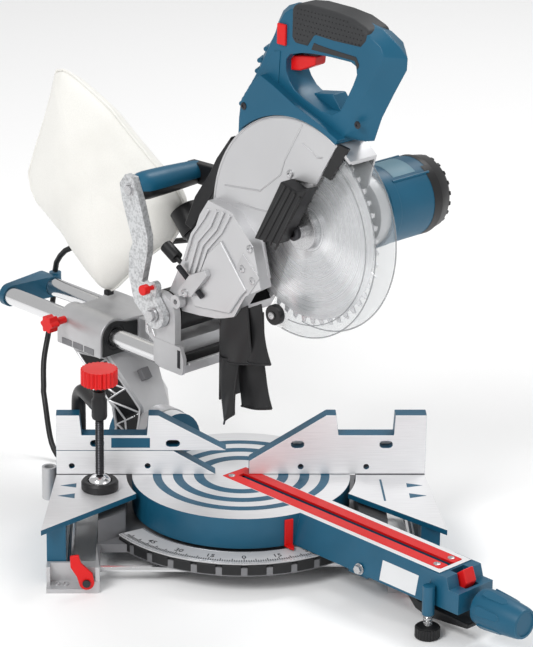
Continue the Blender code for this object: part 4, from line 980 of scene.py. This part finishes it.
def knuckle_face(polygon):
    """1 on the drum round the pivot and on the blade chamber's inside, 0 on the silver outside."""
    at = TABLE.inverted() @ polygon.center
    facing = TABLE.inverted().to_3x3() @ polygon.normal
    drum = math.hypot(at.x - PIVOT[0], at.z - PIVOT[1]) < 0.0262
    inward = facing.x * (at.x - ARBOR[0]) + facing.z * (at.z - ARBOR[1]) < -0.05
    inside = abs(at.y) < 0.0174 and math.hypot(at.x - ARBOR[0], at.z - ARBOR[1]) < 0.1245 and inward
    return 1 if drum or inside else 0


def dress_head():
    finish("head_casting", ["guard", "black"], 0.0008, knuckle_face)
    fins()
    facets()
    finish("head_lock_pin", "red", 0.0008)
    finish("carry_arm", "galvanised", 0.0012)
    finish("carry_bracket", "black", 0.0015)
    finish("depth_stop", "black", 0.0008)
    finish("gear_housing", "cast", 0.0012)
    finish("motor_housing", "blue", 0.0012)
    finish("motor_rotor", "dark_bolt", 0.0003)
    finish("spindle", "bolt", 0.0004)
    finish("saw_blade", "blade", 0.00008)
    finish("lower_guard", "clear", 0.0006)
    finish("guard_roller", "rubber", 0.001)
    finish("trigger", "red", 0.0018)
    finish("lock_button", "red", 0.0012)
    finish("dust_chute", "black", 0.0015)
    hex_bolt("carry_arm_pivot_bolt", (PIVOT[0], -0.0583, PIVOT[1]), LEFT, 0.0068, 0.0045, "bolt", "head")
    hex_bolt("carry_arm_grip_bolt", (GRIP_AXIS[0], -0.0556, GRIP_AXIS[1]), LEFT, 0.0058, 0.0035, "bolt",
        "head")
    (x, z), _ = arc(ARBOR, ROLLER_R, ROLLER_ANGLE, ROLLER_ANGLE, 1)
    cap_screw("roller_screw", (x, -0.0291, z), LEFT, 0.0042, 0.0022, "bolt", "guard")
    for i, (x, z) in enumerate(((0.0455, 0.3655), (0.0915, 0.459), (0.0345, 0.34), (0.0505, 0.33))):
        depth = -0.02 if i == 1 else -0.034
        cap_screw(f"guard_screw_{i + 1}", (x, depth, z), LEFT, 0.0045, 0.0026, "bolt", "head")
    arbor_bolt = turned([(0, 0), (0.009, 0), (0.009, 0.004), (0.007, 0.0052), (0.0042, 0.0052),
        (0.0042, 0.0025), (0, 0.0025)], 32)
    piece("arbor_bolt_head", aimed(arbor_bolt, (ARBOR[0], -0.0181, ARBOR[1]), LEFT), "dark_bolt", "blade")
    flange = turned([(0.004, 0), (0.0215, 0), (0.0215, 0.0022), (0.02, 0.0034), (0.004, 0.0034)], 48)
    piece("outer_flange", aimed(flange, (ARBOR[0], -0.003, ARBOR[1]), LEFT), "turned", "blade", edge=0.0003)
    ribbed_cover()
    plate_lines()
    guard_rim()
    motor_cap()
    handle()
    carry_grip()
    boot()
    bag()


def fins():
    """Four parallel ribs that step down the arm's left side."""
    section = [(-1.6, -1.0), (-1.6, 1.0), (1.9, 0.8), (1.9, -0.8)]
    for i, route in enumerate((
        ((-0.02, 0.395), (-0.028, 0.383), (-0.046, 0.36), (-0.059, 0.326)),
        ((-0.007, 0.397), (-0.017, 0.377), (-0.037, 0.355), (-0.052, 0.313)),
        ((0.004, 0.398), (-0.007, 0.376), (-0.029, 0.352), (-0.044, 0.312)),
        ((0.014, 0.396), (0.001, 0.374), (-0.022, 0.349), (-0.037, 0.312)),
    )):
        points = [(x, ARM_SIDE, z) for x, z in route]
        piece(f"arm_fin_{i + 1}", swept(points, 0.0019, 4, section), "guard", "head", edge=0.0005)


def facets():
    """The raised lower plate, the bolted tab and the depth stop's bracket and rod."""
    plate = [(-0.02, 0.344), (0.001, 0.364), (0.043, 0.317), (0.035, 0.309), (0.016, 0.283), (-0.04, 0.276),
        (-0.048, 0.286)]
    piece("arm_plate", prism("y", -0.0372, ARM_SIDE, plate), "guard", "head", edge=0.0016, segments=3)
    tab = [(0.035, 0.358), (0.062, 0.336), (0.045, 0.312), (0.022, 0.335)]
    piece("arm_tab", prism("y", -0.0352, ARM_SIDE, tab), "cast", "head", edge=0.0006)
    bracket = [(-0.042, 0.315), (-0.017, 0.327), (-0.013, 0.321), (-0.038, 0.29), (-0.059, 0.285),
        (-0.061, 0.291)]
    piece("stop_bracket", prism("y", -0.044, -0.037, bracket), "cast", "head", edge=0.001)
    thread((-0.064, -0.04, 0.319), (-0.023, -0.04, 0.292), 0.0034, 0.0012, "dark_bolt", "depth_rod", "head")
    cap_screw("bracket_bolt", (-0.048, -0.044, 0.292), LEFT, 0.005, 0.0026, "bolt", "head")


def ribbed_cover():
    """The black arbor cover with three raised ribs."""
    outline = [(0.056, 0.381), (0.093, 0.3835), (0.109, 0.41), (0.136, 0.456), (0.1195, 0.45),
        (0.096, 0.4556)]
    obj = piece("arbor_guard", prism("y", -0.039, -0.0203, outline), "black", "head", edge=0.002,
        segments=3)
    start, end = Vector((0.064, 0.385)), Vector((0.104, 0.452))
    across = Vector((0.01, -0.003))
    for i in range(4):
        a = start + across * i * 0.85
        b = end + across * i * 0.85 * 0.9
        rib = swept([(a.x, -0.039, a.y), (b.x, -0.039, b.y)], 0.0016, 8)
        piece(f"arbor_guard_rib_{i + 1}", rib, "black", "head")
    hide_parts("arbor_cover")


def motor_skin(low, high, radius, start, end, steps):
    """A thin band on the motor housing, from low to high along it and from start to end in degrees."""
    skin = bmesh.new()
    outline = arc(MOTOR_AXIS, radius, start, end, steps)
    near, far = ([skin.verts.new((x, y, z)) for x, z in outline] for y in (low, high))
    for k in range(steps):
        skin.faces.new((near[k], near[k + 1], far[k + 1], far[k]))
    return skin


def motor_cap():
    """The motor's end cap with ribs round its rim, and the housing's seams, plate, sleeve and ribs."""
    x, z = MOTOR_AXIS
    profile = [(0, 0.1395), (0.029, 0.1395), (0.035, 0.1375), (0.0405, 0.131), (0.0436, 0.1121),
        (0.04, 0.11), (0, 0.11)]
    shape = aimed(turned(profile, 72), (x, 0, z), (0, 1, 0))
    for vert in shape.verts:
        if vert.co.y > 0.129:
            vert.co.y -= 0.11 * max(0.0, vert.co.x - x)
    obj = piece("motor_end_cap", shape, "black", "head", edge=0.0008)
    dents = []
    for i in range(9):
        angle = 0.3 * i - 0.1
        dent = box((-0.0024, 0.127, 0.033), (0.0024, 0.1352, 0.0396))
        bmesh.ops.rotate(dent, verts=dent.verts, cent=(0, 0, 0), matrix=Matrix.Rotation(angle, 3, "Y"))
        bmesh.ops.translate(dent, verts=dent.verts, vec=(x, -0.11 * 0.036 * max(0.0, math.sin(angle)), z))
        dents.append(dent)
    piece("motor_cap_ribs", gathered(*dents), "rubber", "head", edge=0.0009)
    for i, (low, high, start, end) in enumerate(((0.106, 0.1124, 62, 200), (0.1, 0.1124, -60, 62))):
        strip = motor_skin(low, high, MOTOR_R + 0.0003, start, end, 24)
        piece(f"motor_seam_{i + 1}", strip, "black", "head")
    piece("motor_plate", motor_skin(0.054, 0.088, MOTOR_R + 0.0002, 56, 106, 12), "tag", "head")
    sleeve = turned([(0.0405, 0.036), (0.0446, 0.036), (0.0446, 0.049), (0.0405, 0.049)], 72)
    piece("motor_sleeve", aimed(sleeve, (x, 0, z), (0, 1, 0)), "blue", "head", edge=0.0008)
    for i, degrees in enumerate((50, 112)):
        (a, b), _ = arc(MOTOR_AXIS, MOTOR_R, degrees, degrees, 1)
        rib = [(a, y, b) for y in (0.049, 0.105)]
        piece(f"motor_rib_{i + 1}", swept(rib, 0.0016, 8), "blue", "head")
    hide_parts("motor_cap")


def plate_lines():
    """The raised lines on the guard's left side."""
    y = -0.0201
    for i, route in enumerate((
        [(0.109, 0.518), (0.0829, 0.4726), (0.0764, 0.4543), (0.0455, 0.429), (0.018, 0.4258),
            (-0.01, 0.4226)],
        [(0.1089, 0.4966), (0.1204, 0.4923), (0.1318, 0.486), (0.1392, 0.4878)],
        [(0.065, 0.4092), (0.04, 0.407), (0.01, 0.4075)],
    )):
        points = [Vector((a, y, b)) for a, b in route]
        piece(f"guard_line_{i + 1}", swept(points, 0.0009, 6), "guard", "head")
    border = [(a, y, b) for a, b in arc(ARBOR, 0.1255, 62, 185, 60)]
    piece("guard_border", swept(border, 0.001, 6), "guard", "head")


def guard_rim():
    """The clear guard's thicker rim on both sides, and the step inside it."""
    for side in (-1, 1):
        rim = [(a, side * 0.0156, b) for a, b in arc(ARBOR, 0.1178, -100, 56, 80)]
        word = "left" if side < 0 else "right"
        piece(f"lower_guard_rim_{word}", swept(rim, 0.0008, 8), "smoked", "guard")
    inner = [(a, -0.016, b) for a, b in arc(ARBOR, 0.104, -96, 54, 70)]
    piece("lower_guard_step", swept(inner, 0.0006, 6), "smoked", "guard")


HANDLE_SEAM = [
    (-0.009, 0.467), (-0.0135, 0.492), (-0.0075, 0.515), (0.001, 0.527), (0.013, 0.544), (0.02, 0.569),
    (0.0395, 0.598), (0.045, 0.614), (0.052, 0.627), (0.061, 0.6345), (0.075, 0.64), (0.094, 0.642),
    (0.132, 0.644), (0.167, 0.642), (0.201, 0.634), (0.225, 0.62), (0.235, 0.611), (0.2345, 0.598),
    (0.218, 0.57), (0.2015, 0.54), (0.1915, 0.513), (0.18, 0.51), (0.163, 0.5093),
]
HANDLE_FACE = [
    (0.002, 0.4815), (0.003, 0.5), (0.0055, 0.52), (0.012, 0.531), (0.023, 0.546), (0.035, 0.564),
    (0.052, 0.596), (0.059, 0.609), (0.064, 0.62), (0.071, 0.63), (0.08, 0.636), (0.096, 0.638),
    (0.132, 0.639), (0.165, 0.637), (0.196, 0.629), (0.212, 0.621), (0.216, 0.612), (0.211, 0.6),
    (0.194, 0.57), (0.174, 0.54), (0.164, 0.518), (0.162, 0.513), (0.16, 0.5098),
]
HANDLE_LOOP = [
    (0.116, 0.5945), (0.14, 0.596), (0.17, 0.5965), (0.1775, 0.5935), (0.179, 0.585), (0.174, 0.573),
    (0.164, 0.554), (0.156, 0.541), (0.144, 0.534), (0.128, 0.535), (0.1, 0.544), (0.088, 0.55),
    (0.08, 0.558), (0.074, 0.568), (0.074, 0.58), (0.08, 0.587), (0.098, 0.592),
]


def handle():
    """The D-handle, rounded all over, with its skirt, rubber grip, steps and screws."""
    foot = arc(ARBOR, GUARD_R, 62, 139, 30)
    shell = prism("y", -0.0125, 0.0215, HANDLE_SEAM + foot, HANDLE_LOOP)
    sides = [e for e in shell.edges if abs(e.verts[0].co.y - e.verts[1].co.y) > 0.01]
    bmesh.ops.subdivide_edges(shell, edges=sides, cuts=1)
    for vert in shell.verts:
        for seam, face in zip(HANDLE_SEAM, HANDLE_FACE):
            if math.dist((vert.co.x, vert.co.z), seam) < 0.0002 and abs(vert.co.y - 0.0045) > 0.01:
                vert.co.x, vert.co.z = face
                break
    obj = piece("handle_shell", shell, "blue", "head", edge=0.0042, segments=4)
    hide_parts("handle_left", "handle_right")
    skirt = [(0.0146, 0.4935), (0.0154, 0.5057), (0.0171, 0.5257), (0.0304, 0.5452), (0.0457, 0.5594)]
    skirt += [(0.066, 0.552), (0.1, 0.537), (0.14, 0.523), (0.164, 0.513)]
    skirt += arc(ARBOR, GUARD_R, 61, 130.5, 24)
    piece("handle_skirt", prism("y", -0.0235, 0.026, skirt), "blue", "head", edge=0.0055, segments=4)
    rubber = [(0.081, 0.636), (0.083, 0.6425), (0.106, 0.6455), (0.143, 0.6452), (0.17, 0.6425),
        (0.188, 0.6365), (0.1965, 0.632)]
    rubber += [(0.193, 0.6215), (0.185, 0.613), (0.145, 0.612), (0.118, 0.613), (0.108, 0.599),
        (0.086, 0.5985), (0.081, 0.606)]
    grip = piece("grip_rubber", prism("y", -0.0138, 0.0222, rubber), "grip_rubber", "head", edge=0.0062,
        segments=4)
    grip.modifiers["edges"].angle_limit = math.radians(55)
    under = [(0.116, 0.607), (0.112, 0.5985), (0.14, 0.599), (0.176, 0.599), (0.18, 0.59), (0.183, 0.596),
        (0.178, 0.604), (0.14, 0.605), (0.123, 0.606)]
    piece("grip_underside", prism("y", -0.0134, 0.0218, under), "grip_rubber", "head", edge=0.0012)
    dimples = []
    rows = [(0.639, 0.092, 0.168), (0.634, 0.089, 0.186), (0.6285, 0.089, 0.192), (0.623, 0.089, 0.19)]
    rows += [(0.6175, 0.089, 0.184), (0.612, 0.089, 0.108), (0.606, 0.089, 0.104)]
    for row, (z, low, high) in enumerate(rows):
        x = low + (0.0026 if row % 2 else 0)
        while x < high:
            dome = turned([(0, 0), (0.00085, 0), (0.0006, 0.0005), (0, 0.0006)], 6)
            dimples.append(aimed(dome, (x, -0.0137, z), LEFT))
            x += 0.0052
    piece("grip_dots", gathered(*dimples), "rubber", "head")
    panel = [(0.056, 0.586), (0.066, 0.588), (0.064, 0.553), (0.035, 0.548)]
    piece("handle_panel", prism("y", -0.0134, -0.0126, panel), "blue", "head", edge=0.0003)
    spans = zip(HANDLE_SEAM[2:6], HANDLE_SEAM[3:7])
    steps = [Vector(a).lerp(Vector(b), k / 2) for a, b in spans for k in range(2)]
    for i, spot in enumerate(steps):
        fold = [(spot.x + 0.0082, -0.007, spot.y), (spot.x + 0.0018, 0.0045, spot.y),
            (spot.x + 0.0082, 0.016, spot.y)]
        piece(f"handle_step_{i + 1}", swept(fold, 0.0028, 10), "blue", "head")
    for i, (x, z) in enumerate(((0.022, 0.52), (0.183, 0.532))):
        depth = -0.0235 if i == 0 else -0.013
        cap_screw(f"handle_screw_{i + 1}", (x, depth, z), LEFT, 0.0042, 0.0012, "dark_bolt", "head")
    strip = [(0.163, 0.508), (0.178, 0.506), (0.153, 0.466), (0.14, 0.469)]
    piece("guard_edge_seal", prism("y", -0.0212, -0.0172, strip), "black", "head", edge=0.0006)
    block = [(0.088, 0.543), (0.127, 0.55), (0.145, 0.529), (0.133, 0.516), (0.09, 0.52)]
    piece("handle_block", prism("y", 0.006, 0.026, block), "blue", "head", edge=0.0015)


def carry_grip():
    """The lifting grip: a soft black underside and a blue top shell."""
    rings = []
    steps = 14
    for i in range(steps + 1):
        t = i / steps
        size = 0.0168 - 0.004 * t ** 2 - 0.005 * max(0.0, 1 - 12 * t) - 0.006 * max(0.0, 12 * t - 11)
        rings.append((t, size))
    shells = (("carry_grip_top", "blue", -8, 188), ("carry_grip_under", "black", 188, 352))
    for name, look, low, high in shells:
        shape = bmesh.new()
        loops = []
        for t, size in rings:
            y = -0.0462 + 0.105 * t
            outline = arc(GRIP_AXIS, size if look == "blue" else size * 0.96, low, high, 16)
            loops.append([shape.verts.new((x, y, z)) for x, z in outline])
        for below, above in zip(loops, loops[1:]):
            for k in range(len(below)):
                shape.faces.new((below[k - 1], below[k], above[k], above[k - 1]))
        shape.faces.new(loops[0])
        shape.faces.new(loops[-1])
        obj = piece(name, shape, look, "head", edge=0.0006)
        if look == "blue":
            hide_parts("carry_grip")


def flap(name, corners, depth, curl, look="rubber"):
    """A rubber flap: a drawn outline filled with a grid that bows out of its plane towards its edges."""
    shape = bmesh.new()
    (ax, az), (bx, bz), (cx, cz), (dx, dz) = corners
    across, down = 10, 14
    grid = []
    for j in range(down + 1):
        t = j / down
        left = Vector((ax, az)).lerp(Vector((dx, dz)), t)
        right = Vector((bx, bz)).lerp(Vector((cx, cz)), t)
        row = []
        for i in range(across + 1):
            s = i / across
            p = left.lerp(right, s)
            wave = curl * (math.sin(math.pi * s * 0.9) * (0.3 + 0.7 * t) + 0.25 * math.sin(5 * s + 4 * t))
            row.append(shape.verts.new((p.x, depth - wave, p.y)))
        grid.append(row)
    for upper, lower in zip(grid, grid[1:]):
        for i in range(across):
            shape.faces.new((upper[i], upper[i + 1], lower[i + 1], lower[i]))
    hem = [row[-1].co.copy() for row in grid] + [vert.co.copy() for vert in reversed(grid[-1])]
    made = bmesh.ops.extrude_face_region(shape, geom=list(shape.faces))
    tips = [g for g in made["geom"] if isinstance(g, bmesh.types.BMVert)]
    bmesh.ops.translate(shape, verts=tips, vec=(0, 0.0018, 0))
    piece(f"{name}_hem", swept(hem, 0.0012, 8), look, "head")
    return piece(name, shape, look, "head", edge=0.0004, smooth=60)


def boot():
    """The dust boot: two tiers of flaring rubber flaps and a sheet behind them."""
    first = flap("boot_left_upper", [(-0.006, 0.27), (0.036, 0.296), (0.052, 0.233), (-0.005, 0.22)],
        -0.029, 0.0075)
    flap("boot_left_lower", [(-0.005, 0.225), (0.024, 0.23), (0.022, 0.164), (0.001, 0.145)], -0.03, 0.007)
    flap("boot_front_upper", [(0.015, 0.282), (0.05, 0.3), (0.074, 0.237), (0.018, 0.231)], -0.023, 0.012)
    flap("boot_front_lower", [(0.014, 0.233), (0.052, 0.233), (0.07, 0.182), (0.018, 0.169)], -0.019, 0.006)
    flap("boot_right", [(-0.006, 0.264), (0.012, 0.27), (0.014, 0.18), (-0.006, 0.17)], 0.02, -0.002)
    back = box((-0.0078, -0.029, 0.172), (-0.0056, 0.019, 0.264))
    piece("boot_back", back, "rubber", "head", edge=0.0006)
    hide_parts("dust_boot")


BAG_OUTLINE = [
    (-0.142, 0.356), (-0.156, 0.374), (-0.193, 0.393), (-0.232, 0.417), (-0.27, 0.442), (-0.305, 0.457),
    (-0.338, 0.469), (-0.354, 0.472), (-0.368, 0.468), (-0.378, 0.438), (-0.39, 0.406), (-0.408, 0.365),
    (-0.423, 0.328), (-0.418, 0.308), (-0.408, 0.295), (-0.372, 0.274), (-0.33, 0.255), (-0.285, 0.239),
    (-0.252, 0.23), (-0.242, 0.23), (-0.234, 0.235), (-0.215, 0.257), (-0.195, 0.28), (-0.178, 0.295),
    (-0.162, 0.306), (-0.148, 0.326),
]


def bag():
    """The cloth bag as a crowned pillow with a seam round it, gathered at its neck, and its bottom clip."""
    centre = Vector((-0.27, 0.355))
    low_corner = Vector((-0.245, 0.229))
    neck = Vector((-0.142, 0.34))

    def middle(point):
        near = max(0.0, 1 - (Vector(point) - low_corner).length / 0.11)
        return 0.04 - 0.027 * near

    def half_depth(point, scale):
        taper = 0.35 + 0.65 * min(1.0, (point.x + 0.425) / 0.1)
        crown = taper * math.sqrt(max(0.0, 1 - scale ** 2.6))
        broad = 0.0022 * math.sin(38 * point.x + 21 * point.y)
        folds = broad + 0.0014 * math.sin(95 * point.y - 60 * point.x)
        to_neck = (point - neck).length
        pleats = math.sin(math.atan2(point.y - neck.y, point.x - neck.x) * 22)
        gather = 0.003 * pleats * max(0.0, 1 - to_neck / 0.075)
        return 0.0335 * crown + (folds + gather) * crown * min(1.0, 3 * (1 - scale))

    shape = bmesh.new()
    fine = []
    for a, b in zip(BAG_OUTLINE, BAG_OUTLINE[1:] + BAG_OUTLINE[:1]):
        fine += [Vector(a).lerp(Vector(b), i / 3) for i in range(3)]
    scales = [0.0, 0.18, 0.34, 0.5, 0.64, 0.76, 0.86, 0.93, 0.975, 1.0]
    sides = []
    for side in (-1, 1):
        loops = []
        for scale in scales[1:]:
            loop = []
            for p in fine:
                q = centre + (p - centre) * scale
                loop.append(shape.verts.new((q.x, middle(q) + side * half_depth(q, scale), q.y)))
            loops.append(loop)
        tip = shape.verts.new((centre.x, middle(centre) + side * half_depth(centre, 0.0), centre.y))
        for k in range(len(fine)):
            shape.faces.new((loops[0][k - 1], loops[0][k], tip))
        for below, above in zip(loops, loops[1:]):
            for k in range(len(fine)):
                shape.faces.new((below[k - 1], below[k], above[k], above[k - 1]))
        sides.append(loops[-1])
    bmesh.ops.remove_doubles(shape, verts=sides[0] + sides[1], dist=0.0001)
    obj = piece("dust_bag_cloth", shape, "cloth", "head", smooth=180)
    smoother = obj.modifiers.new("smooth", "SUBSURF")
    smoother.levels = smoother.render_levels = 1
    seam_route = [(p.x, middle(p), p.y) for p in fine]
    seam = swept(smooth_route(seam_route + seam_route[:1], 0.006), 0.0016, 8)
    piece("dust_bag_seam", seam, "cloth", "head")
    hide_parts("dust_bag")
    clip = box((-0.248, 0.008, 0.2245), (-0.24, 0.018, 0.231))
    piece("dust_bag_clip", clip, "black", "head", edge=0.0012)
    collar = swept([(-0.12, 0.04, 0.329), (-0.132, 0.04, 0.34), (-0.143, 0.04, 0.35)],
        lambda t: 0.0185 - 0.001 * t, 28)
    piece("bag_collar", collar, "black", "head")


make_camera()
make_studio()
make_cord()
dress_table()
dress_base()
dress_clamp()
dress_tilt()
dress_carriage()
dress_head()
